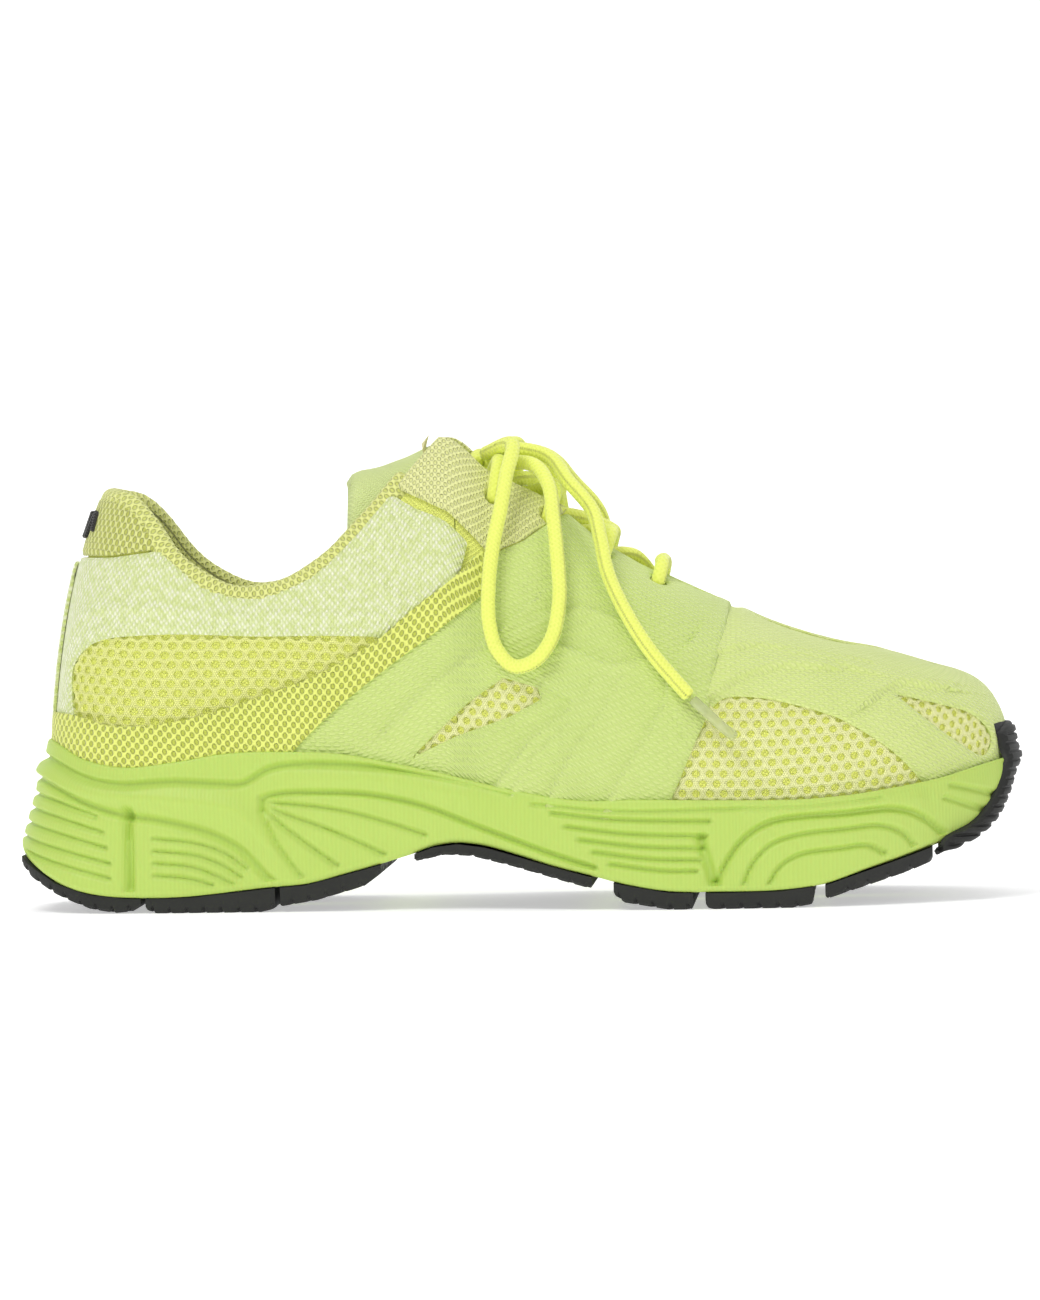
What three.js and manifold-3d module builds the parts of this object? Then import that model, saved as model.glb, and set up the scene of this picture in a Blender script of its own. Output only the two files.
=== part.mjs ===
// Right running shoe: rubber pods, foam midsole, lasted textile upper, padded tongue and tied laces.
// Frame in millimetres: +X heel to toe, -Y lateral side, +Z up, origin under the middle of the sole.
import * as THREE from 'three';
import { mergeVertices } from 'three/addons/utils/BufferGeometryUtils.js';
import Module from 'manifold-3d';

const wasm = await Module();
wasm.setup();

// Driving dimensions
const upperLength = 283; // heel back to toe tip of the mesh shell, at the feather line
const statedLength = 283; // shell length that the stations below are stated for
const heelEnd = -137.5; // where the mesh shell starts
const ballHalfWidth = 48;
const heelHalfWidth = 34;
const waistHalfWidth = 36;
const instepHeight = 109; // footbed to the virtual ridge above the ankle opening
const gap = 0.3; // clearance between neighbouring pieces
const meshWall = 1.2;
const overlayWall = 1.2;
const strapWall = 1.1;
const fillWall = 1.4; // heel counter, toe puff and thin foam
const collarPad = 4.6; // extra foam thickness at the ankle
const liningWall = 0.8;
const boardWall = 1.4;
const insoleWall = 4.5;
const rimWall = 1.7; // foam lip cemented round the upper
const rubberWall = 2.8;
const bumperWall = 1.8;
const laceRadius = 2.2;
const statedLace = 2.2; // lace radius that the knot and the bow are stated for
const tipRadius = 1.5;
const bindingRadius = 4;
const tongueClear = 1.5; // between the laces under the eyestays and the tongue
const tongueFace = 1.2;
const tonguePad = 5;
const eyeletInset = 6.5; // eyelet centre from the throat edge
const liningInset = 12; // the lining stops this far from the throat edge, clear of the laces
const tongueEnd = 75; // where the tongue is sewn down
const tongueTop = -50; // free end of the tongue

// Layers, as distances from the outer face of the mesh shell
const overlayIn = gap;
const overlayOut = overlayIn + overlayWall;
const strapIn = overlayOut + gap;
const strapOut = strapIn + strapWall;
const meshIn = -meshWall;
const fillOut = meshIn - gap;
const thinFill = fillOut - fillWall;
const thinLining = thinFill - gap - liningWall;
const laceOver = overlayOut + gap + laceRadius;
const laceUnder = meshIn - gap - laceRadius;
const tongueOut = laceUnder - laceRadius - tongueClear;
const envelope = overlayOut + gap;

// Smooth curve through [station, value] pairs
function profile(pairs) {
  const n = pairs.length;
  const slope = pairs.map((p, i) => {
    const a = pairs[Math.max(i - 1, 0)];
    const b = pairs[Math.min(i + 1, n - 1)];
    return (b[1] - a[1]) / (b[0] - a[0]);
  });
  return (x) => {
    if (x <= pairs[0][0]) return pairs[0][1];
    if (x >= pairs[n - 1][0]) return pairs[n - 1][1];
    const i = pairs.findIndex((p, k) => k < n - 1 && x <= pairs[k + 1][0]);
    const [x0, y0] = pairs[i];
    const [x1, y1] = pairs[i + 1];
    const d = x1 - x0;
    const t = (x - x0) / d;
    return y0 * (1 + 2 * t) * (1 - t) ** 2 + slope[i] * d * t * (1 - t) ** 2
      + y1 * t * t * (3 - 2 * t) + slope[i + 1] * d * t * t * (t - 1);
  };
}

// Stations follow the length of the shell
const along = (x) => heelEnd + (x - heelEnd) * upperLength / statedLength;
const statedInstep = 109; // instep height that the side outlines are stated for
const outlineBase = 30;
const lift = (z) => outlineBase + (z - outlineBase) * instepHeight / statedInstep;
const back = (x) => heelEnd + (x - heelEnd) * statedLength / upperLength;
const onStations = (pairs) => {
  const f = profile(pairs);
  return (x) => f(back(x));
};
const toeEnd = heelEnd + upperLength;

// Footbed, ridge line, half width and centre line of the upper
const footbed = onStations([[-138, 36], [-110, 34], [-70, 33.5], [-20, 30], [20, 24.5],
  [50, 22], [80, 22], [110, 24.5], [130, 28.5], [146, 34]]);
const ridgeShape = onStations([[-95, 1.06], [-70, 0.98], [-50, 0.955], [-36, 0.995], [-20, 1.04], [-8, 0.945],
  [0, 0.912], [12, 0.86], [24, 0.778], [36, 0.713], [48, 0.664], [62, 0.604], [76, 0.546],
  [95, 0.475], [110, 0.425], [123, 0.355]]);
const ridgeHeight = (x) => footbed(x) + instepHeight * ridgeShape(x);
const ridgeStation = onStations([[-137.5, -95], [-115, -88], [-90, -76], [-60, -57], [-20, -20], [60, 60],
  [85, 83], [110, 101], [130, 115], [145.5, 123]]);
const fullWidth = onStations([[-137, heelHalfWidth], [-95, heelHalfWidth + 0.5], [-60, waistHalfWidth - 1],
  [-25, waistHalfWidth], [10, (waistHalfWidth + ballHalfWidth) / 2], [45, ballHalfWidth - 1],
  [65, ballHalfWidth], [90, ballHalfWidth], [120, ballHalfWidth - 1], [146, ballHalfWidth - 2]]);
const centreLine = onStations([[-137, 0], [-80, 0], [-40, -2], [10, -3.5], [50, -3], [90, 0], [125, 4], [146, 6]]);
const roundness = onStations([[-138, 2], [-90, 2.2], [-40, 2.4], [40, 2.4], [90, 2.5], [146, 2.8]]);
const heelCap = 42;
const toeCap = 66;
function halfWidth(x) {
  const h = Math.min(Math.max((heelEnd + heelCap - x) / heelCap, 0), 1);
  const t = Math.min(Math.max((x - toeEnd + toeCap) / toeCap, 0), 1);
  return fullWidth(x) * (1 - h ** 2.2) ** (1 / 2.2) * (1 - t ** 2.1) ** (1 / 2.1);
}

// Point of the mesh shell's outer face: turn 0..1 from heel to toe, climb 0..1 from footbed to ridge
function shellPoint(turn, climb, side) {
  const x = heelEnd + upperLength * (0.5 - 0.5 * Math.cos(Math.PI * turn));
  const xr = along(ridgeStation(x));
  const power = 2 / roundness(x);
  const angle = climb * Math.PI / 2;
  const inward = Math.max(Math.cos(angle), 0) ** power;
  const up = Math.sin(angle) ** power;
  const y = centreLine(xr) + (side * halfWidth(x) + centreLine(x) - centreLine(xr)) * inward;
  const z = footbed(x) + (ridgeHeight(xr) - footbed(x)) * up;
  return new THREE.Vector3(xr + (x - xr) * inward, y, z);
}

function shellNormal(turn, climb, side) {
  const e = 0.004;
  const t = Math.min(Math.max(turn, 0.002), 0.998);
  const c = Math.min(Math.max(climb, e), 1 - e);
  const du = shellPoint(t + e / 2, c, side).sub(shellPoint(t - e / 2, c, side));
  const dv = shellPoint(t, c + e, side).sub(shellPoint(t, c - e, side));
  const n = du.cross(dv).multiplyScalar(side < 0 ? 1 : -1).normalize();
  if (climb < 0.001) n.setZ(0).normalize();
  if (climb > 0.999) n.setY(0).normalize();
  if (turn < 0.001 || turn > 0.999) n.setY(0).normalize();
  return n;
}

const turns = 20; // lattice cells from heel to toe
const climbs = 7; // lattice cells from footbed to ridge

// Extra foam thickness at the ankle
function padding(p) {
  const height = THREE.MathUtils.smoothstep(p.z, lift(72), lift(98));
  const rear = 1 - THREE.MathUtils.smoothstep(p.x, along(-82), along(-58));
  return collarPad * height * rear;
}

// Closed solid whose skin lies at a distance from the mesh shell, with a straight skirt below the feather line
function lasted(distance, skirt) {
  const off = typeof distance === 'function' ? distance : () => distance;
  const verts = [];
  const index = (i, j, side) => {
    if (j === climbs) return ridge[i];
    if (i === 0 || i === turns) return ends[i === 0 ? 0 : 1][j - lowest];
    return sides[side < 0 ? 0 : 1][i][j - lowest];
  };
  const lowest = skirt > 0 ? -1 : 0;
  const add = (turn, row, side) => {
    const climb = Math.max(row, 0) / climbs;
    const p = shellPoint(turn, climb, side);
    const q = p.clone().addScaledVector(shellNormal(turn, climb, side), off(p));
    if (row <= 0) q.z = footbed(p.x) + gap + row * skirt;
    verts.push(q.x, q.y, q.z);
    return verts.length / 3 - 1;
  };
  const ridge = [];
  const ends = [[], []];
  const sides = [[], []];
  for (let i = 0; i <= turns; i++) {
    ridge.push(add(i / turns, climbs, -1));
    for (const s of [0, 1]) sides[s].push([]);
    for (let j = lowest; j < climbs; j++) {
      if (i === 0 || i === turns) ends[i === 0 ? 0 : 1].push(add(i / turns, j, -1));
      else for (const s of [0, 1]) sides[s][i].push(add(i / turns, j, s === 0 ? -1 : 1));
    }
  }
  const tris = [];
  const face = (a, b, c) => {
    if (a !== b && b !== c && a !== c) tris.push(a, b, c);
  };
  const quad = (a, b, c, d, flip) => {
    if (flip) { face(a, c, b); face(a, d, c); } else { face(a, b, c); face(a, c, d); }
  };
  for (let i = 0; i < turns; i++) {
    for (let j = lowest; j < climbs; j++) {
      for (const side of [-1, 1]) {
        quad(index(i, j, side), index(i + 1, j, side), index(i + 1, j + 1, side), index(i, j + 1, side), side > 0);
      }
    }
    quad(index(i, lowest, 1), index(i + 1, lowest, 1), index(i + 1, lowest, -1), index(i, lowest, -1), false);
  }
  return solid(new Float32Array(verts), new Uint32Array(tris));
}

function solid(vertProperties, triVerts) {
  return new wasm.Manifold(new wasm.Mesh({ numProp: 3, vertProperties, triVerts }));
}

function fromGeometry(geometry) {
  const g = geometry.index ? geometry.toNonIndexed() : geometry;
  g.deleteAttribute('normal');
  g.deleteAttribute('uv');
  const m = mergeVertices(g, 1e-4);
  return solid(m.attributes.position.array, new Uint32Array(m.index.array));
}

function toGeometry(manifold) {
  const m = manifold.getMesh();
  const position = new Float32Array(m.numVert * 3);
  for (let i = 0; i < m.numVert; i++) {
    position.set(m.vertProperties.subarray(i * m.numProp, i * m.numProp + 3), i * 3);
  }
  const g = new THREE.BufferGeometry();
  g.setAttribute('position', new THREE.BufferAttribute(position, 3));
  g.setIndex(new THREE.BufferAttribute(m.triVerts, 1));
  g.computeVertexNormals();
  return g;
}

const vec = (pairs) => pairs.map(([x, y]) => new THREE.Vector2(x, y));
const smooth = (pairs, steps) => new THREE.SplineCurve(vec(pairs)).getPoints(steps);

// Prism seen from the side: outline in x and z, between two y
function sidePrism(outline, y0, y1) {
  const shape = new THREE.Shape(outline);
  const g = new THREE.ExtrudeGeometry(shape, { depth: y1 - y0, bevelEnabled: false, steps: 1 });
  g.rotateX(Math.PI / 2);
  g.translate(0, y1, 0);
  return fromGeometry(g);
}

// Prism seen from above: outline in x and y, between two z
function planPrism(outline, z0, z1) {
  const shape = new THREE.Shape(outline);
  const g = new THREE.ExtrudeGeometry(shape, { depth: z1 - z0, bevelEnabled: false, steps: 1 });
  g.translate(0, 0, z0);
  return fromGeometry(g);
}

function block(x0, x1, y0, y1, z0, z1) {
  const g = new THREE.BoxGeometry(x1 - x0, y1 - y0, z1 - z0);
  g.translate((x0 + x1) / 2, (y0 + y1) / 2, (z0 + z1) / 2);
  return fromGeometry(g);
}

function tube(curve, radius, steps, sides) {
  const ring = new THREE.Shape();
  for (let k = 0; k < sides; k++) {
    const a = 2 * Math.PI * k / sides;
    if (k === 0) ring.moveTo(radius, 0);
    else ring.lineTo(radius * Math.cos(a), radius * Math.sin(a));
  }
  ring.closePath();
  return fromGeometry(new THREE.ExtrudeGeometry(ring, { steps, bevelEnabled: false, extrudePath: curve }));
}

// Largest connected body of a cut piece
function mainBody(piece) {
  const bodies = piece.decompose();
  return bodies.reduce((a, b) => (b.volume() > a.volume() ? b : a));
}

const shoe = new THREE.Group();
function place(name, body, color, roughness, metalness = 0) {
  const material = new THREE.MeshStandardMaterial({ color, roughness, metalness });
  const mesh = new THREE.Mesh(toGeometry(mainBody(body)), material);
  mesh.name = name;
  shoe.add(mesh);
}

const wide = 90;
const tall = 190;
const sides = [{ name: 'lateral', sign: -1, y0: -wide, y1: 0 }, { name: 'medial', sign: 1, y0: 0, y1: wide }];
const halfGap = gap / 2;
const tapeHalf = 4;

// Collar seam seen from the side, from the heel back to the throat peak
const collarPairs = [[-132, 122.5], [-122, 122.5], [-114, 120], [-108, 114], [-102, 105.5], [-93, 98],
  [-86, 94.3], [-78, 92.8], [-68, 94.5], [-57, 100], [-46, 110], [-36, 121.5], [-28, 131]];
const collarSeam = profile(collarPairs.map(([x, z]) => [along(x), lift(z)]));
const collarTop = collarPairs.map(([x]) => along(x));
function aboveCollar(rise) {
  const line = [];
  for (let k = 0; k < collarTop.length - 1; k++) {
    for (let f = 0; f < 2; f++) {
      const x = collarTop[k] + (collarTop[k + 1] - collarTop[k]) * f / 2;
      line.push([x, collarSeam(x) + rise]);
    }
  }
  line[0][0] = heelEnd - 30;
  line.push([along(-28), lift(131) + rise], [along(-20.5), lift(139.5) + rise], [along(-20), tall],
    [heelEnd - 30, tall]);
  return vec(line);
}
const ankleOpening = sidePrism(aboveCollar(0), -wide, wide);

// Throat between the eyestays, seen from above
const throatHalf = onStations([[-60, 18], [-25, 15], [-10, 13.2], [0, 12.5], [15, 11], [30, 9.5], [45, 8.2],
  [56, 7.2]]);
const throatEnd = along(60);
function throatOutline() {
  const near = [-60, -25, -10, 0, 15, 30, 54].map((x) => [along(x), throatHalf(along(x))]);
  near.push([throatEnd - 1.5, throatHalf(throatEnd) * 0.7], [throatEnd, 2.5]);
  const far = near.map(([x, y]) => [x, -y]).reverse();
  return vec([...near, ...far].map(([x, y]) => [x, y + centreLine(x)]));
}
const throat = planPrism(throatOutline(), lift(60), tall);
function liningOutline() {
  const near = [-60, -25, 0, 30, 55].map((x) => [along(x), throatHalf(along(x)) + liningInset]);
  near.push([along(tongueEnd) + 1, throatHalf(throatEnd) + liningInset - 3]);
  const far = near.map(([x, y]) => [x, -y]).reverse();
  return vec([...near, ...far].map(([x, y]) => [x, y + centreLine(x)]));
}

// Point above or below the throat area: x, distance from the centre line, distance from the shell
function instepPoint(x, across, distance) {
  const w = halfWidth(x);
  const n = roundness(x);
  const height = (u, v) => {
    const r = Math.min(Math.abs(v) / halfWidth(u), 1);
    return footbed(u) + (ridgeHeight(u) - footbed(u)) * (1 - r ** n) ** (1 / n);
  };
  const e = 0.5;
  const normal = new THREE.Vector3(
    -(height(x + e, across) - height(x - e, across)) / (2 * e),
    -(height(x, across + e) - height(x, across - e)) / (2 * e),
    1,
  ).normalize();
  const y = centreLine(x) + Math.min(Math.abs(across), w) * Math.sign(across);
  const p = new THREE.Vector3(x, y, height(x, across));
  return p.addScaledVector(normal, distance);
}

// Criss-cross lacing, one cord from the top lateral eyelet down to the toe row and back up
const laceRows = [-5, 11, 27, 43].map(along);
const crossLow = tongueOut + laceRadius + tongueClear;
const crossHigh = crossLow + 2 * laceRadius + 3 * gap;
function eyeletTurn(row, side, upward) {
  const x = laceRows[row];
  const t = throatHalf(x);
  const points = [
    instepPoint(x + 0.8, side * (t - 1.5), laceUnder + 0.4),
    instepPoint(x + 0.5, side * (t + 3.2), laceUnder),
    instepPoint(x, side * (t + eyeletInset + 0.8), (laceUnder + laceOver) / 2),
    instepPoint(x - 0.5, side * (t + 3), laceOver + 0.4),
    instepPoint(x - 0.8, side * (t - 2), laceOver + 0.6),
  ];
  return upward ? points : points.reverse();
}
function laceStrand(firstSide, level) {
  const points = [];
  let side = firstSide;
  for (let row = laceRows.length - 1; row >= 0; row--) {
    if (row === laceRows.length - 1) points.push(...eyeletTurn(row, side, false));
    else points.push(...eyeletTurn(row, side, true));
    if (row > 0) {
      const x = (laceRows[row] + laceRows[row - 1]) / 2;
      points.push(instepPoint(x, 0, (row % 2 === 0) === level ? crossHigh : crossLow));
    }
    side = -side;
  }
  return points;
}
const strandA = laceStrand(-1, true);
const strandB = laceStrand(1, false);
const bar = [instepPoint(laceRows[laceRows.length - 1], 0, laceOver - 0.2)];
const knotX = along(-7.5);
const bowScale = laceRadius / statedLace;
const knotSize = [4.8, 5, 3.2].map((v) => v * bowScale);
const knotCentre = instepPoint(knotX, 0, -0.8);
const fromKnot = (dx, dy, dz) => new THREE.Vector3(dx, dy, dz).multiplyScalar(bowScale).add(knotCentre);
const laceRoute = new THREE.CatmullRomCurve3([fromKnot(2, 6.2, -2.6), ...strandA.reverse(), ...bar, ...strandB,
  fromKnot(2, -6.2, -2.6)], false, 'centripetal');
const laceSteps = 96;
const lacing = tube(laceRoute, laceRadius, laceSteps, 8);
const laceHoles = tube(laceRoute, (laceRadius + 4 * gap) / Math.cos(Math.PI / 6), laceSteps, 6);

// Upper layers
const envelopeBody = lasted(envelope, gap);
const layer = (out, inn) => lasted(out, 0).subtract(lasted(inn, 20)).subtract(ankleOpening).subtract(throat);
const overlayLayer = layer(overlayOut, overlayIn).subtract(laceHoles);
const strapLayer = layer(strapOut, strapIn);
const meshLayer = layer(0, meshIn).subtract(laceHoles);
const fillLayer = layer(fillOut, (p) => thinFill - padding(p));
const liningLayer = layer((p) => thinFill - gap - padding(p), (p) => thinLining - padding(p))
  .subtract(planPrism(liningOutline(), lift(60), tall));

const at = (pairs) => vec(pairs.map(([x, z]) => [along(x), lift(z)]));
const atSmooth = (pairs, steps) => smooth(pairs.map(([x, z]) => [along(x), lift(z)]), steps);

// Mesh shell: quarters behind, vamp in front
const quarterSplit = along(-16);
for (const s of sides) {
  const half = block(-200, quarterSplit - halfGap, s.y0 + (s.sign > 0 ? halfGap : 0),
    s.y1 - (s.sign < 0 ? halfGap : 0), 0, tall);
  place('quarter_mesh_' + s.name, meshLayer.intersect(half), 0xd3d873, 0.85);
}
place('vamp_mesh', meshLayer.intersect(block(quarterSplit + halfGap, 200, -wide, wide, 0, tall)), 0xdbe080, 0.85);

// Windows in the overlays, seen from the side
const heelWindow = atSmooth([[-131, 62], [-130.5, 73], [-124, 79.5], [-106, 81.9], [-74, 81], [-50, 80.8],
  [-38, 79.6], [-56, 69.5], [-74, 63], [-100, 56], [-122, 55.5], [-130, 58], [-131, 62]], 36);
const archWindow = at([[-31, 43.4], [-22, 52], [-12, 61], [-1.8, 68], [8.4, 65], [9.3, 61.6], [0, 56.6],
  [-16, 51], [-26, 46.4]]);
const foreWindow = atSmooth([[46.5, 30], [52, 44], [57.6, 56], [62, 60.6], [72, 60.8], [84, 58.2], [95.4, 54.4],
  [104.5, 49.4], [113, 43], [121, 34]], 16).concat(at([[121, 24], [46.5, 24]]));
const toeWindow = atSmooth([[112.5, 60.6], [125, 57.4], [134, 54.4], [139, 50], [140.3, 46], [138, 42], [131, 46],
  [121, 53.6], [112.5, 60.6]], 20);
const vampWindow = planPrism(smooth([[68, 0], [72, 9], [84, 13], [98, 12], [108, 0], [98, -12], [84, -13],
  [72, -9], [68, 0]].map(([x, y]) => [along(x), y + centreLine(along(x))]), 16), 60, 100);

// Outlines of the overlay pieces, seen from the side
const strapTop = [[-150, 58.5], [-131, 58.5], [-118, 55.2], [-102, 55.8], [-87, 59.2], [-74, 63.3], [-57, 69.4],
  [-39, 79.4], [-29, 87.6], [-17, 96.6], [-8, 105]];
const strapBottom = [[-5, 94], [-9, 91], [-20, 82.5], [-35, 72], [-50.7, 60], [-64, 47.5], [-70, 40]];
const strapOutline = atSmooth(strapTop, 22).concat(atSmooth(strapBottom, 12), at([[-150, 40]]));
const panelEdge = [[-12.3, 107.5], [-15.5, 97.5], [-29.4, 86], [-43, 76], [-60, 62], [-78, 48], [-88, 30]];
const panelOutline = at([[-150, 20], [-150, 104.4], [-118, 104.7], [-104, 106.5]])
  .concat(at([[-104, 135], [-36, 135], [-35, 122]]), atSmooth([[-28, 118], [-19, 114], [-12.3, 107.5]], 5),
    atSmooth(panelEdge, 12).slice(1), at([[-88, 20]]));
const patchOutline = at([[-150, 104.7 + gap], [-118, 105 + gap], [-104 - gap, 106.8 + gap], [-104 - gap, 160],
  [-150, 160]]);
const eyestayOutline = at([[-34, 124], [-26, 120.5], [-18, 116.6], [-11, 109.5], [-6, 104], [4, 108], [12, 113.5],
  [20, 118], [20, 160], [-60, 160], [-60, 125]]);
const sidePieces = at([[-87, 20], [-87, 30], [-77, 48], [-59, 61.6], [-42, 75.6], [-28.6, 85.6], [-14.8, 97],
  [-10.5, 103.6], [-6, 103.6], [4, 107.6], [12, 113.1], [21, 118], [70, 118], [62, 78], [59, 66], [57.8, 56.2],
  [52.3, 44], [46.3, 30], [46.3, 20]]);

for (const s of sides) {
  const cut = (outline) => sidePrism(outline, s.y0, s.y1);
  const half = block(-200, 200, s.y0 + (s.sign > 0 ? halfGap : 0), s.y1 - (s.sign < 0 ? halfGap : 0), 0, tall);
  const sideLayer = overlayLayer.intersect(half);
  const seam = sidePrism(sidePieces, s.y0, s.y1);
  place('heel_panel_' + s.name, sideLayer.intersect(cut(panelOutline)).subtract(cut(heelWindow)), 0xe1ecb4, 0.45);
  place('eyestay_' + s.name, sideLayer.intersect(cut(eyestayOutline)).subtract(cut(panelOutline)), 0xe4e7a0, 0.8);
  place('side_overlay_' + s.name,
    sideLayer.intersect(seam).subtract(cut(archWindow)).subtract(cut(panelOutline)), 0xcfe187, 0.8);
}
const toeArea = at([[46.3 + gap, 20], [46.3 + gap, 30], [52.6, 44], [58.1, 56], [59.3, 66], [62.3, 78], [70.4, 118],
  [200, 118], [200, 20]]);
place('toe_overlay', overlayLayer.intersect(sidePrism(toeArea, -wide, wide))
  .subtract(sidePrism(foreWindow, -wide, wide)).subtract(sidePrism(toeWindow, -wide, wide))
  .subtract(vampWindow), 0xdcea9c, 0.8);
place('heel_patch', overlayLayer.intersect(sidePrism(patchOutline, -wide, wide)), 0xdadf82, 0.85);

// Sole profile seen from the side
const rimLine = onStations([[-150, 52.5], [-136, 50.5], [-126, 45.5], [-114, 43.2], [-100, 44.6], [-84, 47],
  [-66, 47.3], [-50, 46.4], [-36, 43.8], [-20, 40.4], [0, 35.6], [20, 32.2], [36, 32.3], [80, 31.6], [96, 32.4],
  [110, 34.2], [124, 36.6], [136, 39.8], [150, 43]]);
const solePairs = [[-150, 20], [-146, 15], [-136, 9], [-126, 5.9], [-114, 4.6], [-96, 4.8], [-73, 7.2],
  [-61, 8.2], [-49, 11.2], [-40, 13.6], [-30, 16.6], [-23, 19], [-16, 19.8], [-8, 18.8], [2, 16], [12, 12.8],
  [24, 9.8], [34, 7.2], [46, 5.3], [60, 5], [78, 5.1], [92, 6.8], [104, 10.6], [116, 14.3], [128, 18.4],
  [135, 21.4], [140, 25], [144, 31], [147.5, 38], [152, 41]];
const soleLine = solePairs.map(([x, z]) => [along(x), z]);
const soleHeight = (x) => {
  const i = soleLine.findIndex((p, k) => k < soleLine.length - 1 && x <= soleLine[k + 1][0]);
  const [a, b] = [soleLine[i], soleLine[i + 1]];
  return a[1] + (b[1] - a[1]) * (x - a[0]) / (b[0] - a[0]);
};

// Wall of the sole: flare beyond the upper, from the bottom edge up to the rim
const heelFlare = 18;
const sideFlare = 2.6;
const heelShare = (x) => 1 - THREE.MathUtils.smoothstep(x, along(-139), along(-108));
const wallRows = [0, 0.22, 0.5, 0.8, 1, 1.5];
function soleWall(grow) {
  const verts = [];
  const rows = wallRows.length;
  const around = 2 * turns;
  const base = envelope + rimWall + grow;
  for (const row of wallRows) {
    for (let k = 0; k < around; k++) {
      const side = k <= turns ? -1 : 1;
      const turn = (k <= turns ? k : around - k) / turns;
      const p = shellPoint(turn, 0, side);
      const n = shellNormal(turn, 0, side);
      const atToe = THREE.MathUtils.smoothstep(p.x, along(110), along(146));
      const flare = (sideFlare + (heelFlare - sideFlare) * heelShare(p.x)) * (1 - Math.min(row, 1)) ** 1.3
        * (1 - atToe);
      const q = p.addScaledVector(n, base + flare);
      const low = -4;
      const high = rimLine(p.x);
      verts.push(q.x, q.y, low + (high - low) * row);
    }
  }
  const bottom = verts.length / 3;
  const tris = [];
  for (let r = 0; r < rows - 1; r++) {
    for (let k = 0; k < around; k++) {
      const a = r * around + k;
      const b = r * around + (k + 1) % around;
      tris.push(a, b, b + around, a, b + around, a + around);
    }
  }
  const cap = (start, up) => {
    for (let i = 0; i < turns; i++) {
      const l0 = start + i;
      const l1 = start + i + 1;
      const m0 = start + (around - i) % around;
      const m1 = start + around - i - 1;
      const list = [[l0, m0, m1], [l0, m1, l1]];
      for (const [a, b, c] of list) {
        if (a === b || b === c || a === c) continue;
        if (up) tris.push(a, c, b);
        else tris.push(a, b, c);
      }
    }
  };
  cap(0, false);
  cap(bottom - around, true);
  return solid(new Float32Array(verts), new Uint32Array(tris));
}

const stations = [];
for (let x = -150; x <= 150; x += 12) stations.push(along(x));
const rimPoints = stations.map((x) => [x, rimLine(x)]);
const soleSide = (drop, lift) => {
  const low = soleLine.map(([x, z]) => [x, z - drop]);
  const top = rimPoints.map(([x, z]) => [x, z + lift]).reverse();
  const last = low[low.length - 1];
  return vec([[along(-170), low[0][1]], ...low, [along(165), last[1]], [along(165), top[0][1]], ...top,
    [along(-170), top[top.length - 1][1]]]);
};
const midsoleBody = soleWall(0).intersect(sidePrism(soleSide(0, 0), -wide, wide)).subtract(envelopeBody);
place('midsole', midsoleBody, 0xc3d972, 0.55);

// Strap and heel tape lie on the overlays, above the foam rim
const aboveRim = sidePrism(vec([...rimPoints.map(([x, z]) => [x, z + gap]), [along(150), tall], [along(-150), tall]]),
  -wide, wide);
for (const s of sides) {
  const reach = s.sign < 0 ? [-wide, -tapeHalf - halfGap] : [tapeHalf + halfGap, wide];
  const strap = strapLayer.intersect(sidePrism(strapOutline, reach[0], reach[1])).intersect(aboveRim);
  place('strap_' + s.name, strap, 0xcad364, 0.85);
}
const tapeZone = block(-200, -110, -tapeHalf + halfGap, tapeHalf - halfGap, 0, lift(103));
place('heel_tape', strapLayer.intersect(tapeZone).intersect(aboveRim),
  0xe1ecb4, 0.6);

// Embroidered zigzag on the heel patch
const markPoints = [[-6, 110], [-4, 116], [-2, 110], [0, 116], [2, 110], [4, 116], [6, 110]]
  .map(([y, z]) => [y, lift(z)]);
const markOutline = vec([...markPoints.map(([y, z]) => [y, z + 1.1]),
  ...markPoints.map(([y, z]) => [y, z - 1.1]).reverse()]);
const markPrism = new THREE.ExtrudeGeometry(new THREE.Shape(markOutline), { depth: 40, bevelEnabled: false });
markPrism.rotateX(Math.PI / 2);
markPrism.rotateZ(Math.PI / 2);
markPrism.translate(-150, 0, 0);
const markLayer = lasted(strapOut - 0.4, 0).subtract(lasted(strapIn, 20));
place('heel_embroidery', markLayer.intersect(fromGeometry(markPrism)), 0x1c1d1b, 0.7);

// Hidden stiffeners, foam and lining
const foamSplit = lift(84);
const counterFront = along(-72);
const foamFront = along(-33);
const puffStart = along(104);
place('heel_counter', fillLayer.intersect(block(-200, counterFront, -wide, wide, 0, foamSplit - halfGap)),
  0xe8e6da, 0.6);
place('collar_foam', fillLayer.intersect(block(-200, foamFront, -wide, wide, foamSplit + halfGap, tall)),
  0xeee9b8, 0.95);
place('toe_puff', fillLayer.intersect(block(puffStart, 200, -wide, wide, 0, tall)), 0xe8e6da, 0.6);
place('collar_lining', liningLayer.intersect(block(-200, quarterSplit - halfGap, -wide, wide, 0, tall)),
  0xd2d971, 0.9);
place('vamp_lining', liningLayer.intersect(block(quarterSplit + halfGap, 200, -wide, wide, 0, tall)),
  0xdfe3a4, 0.9);

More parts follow.
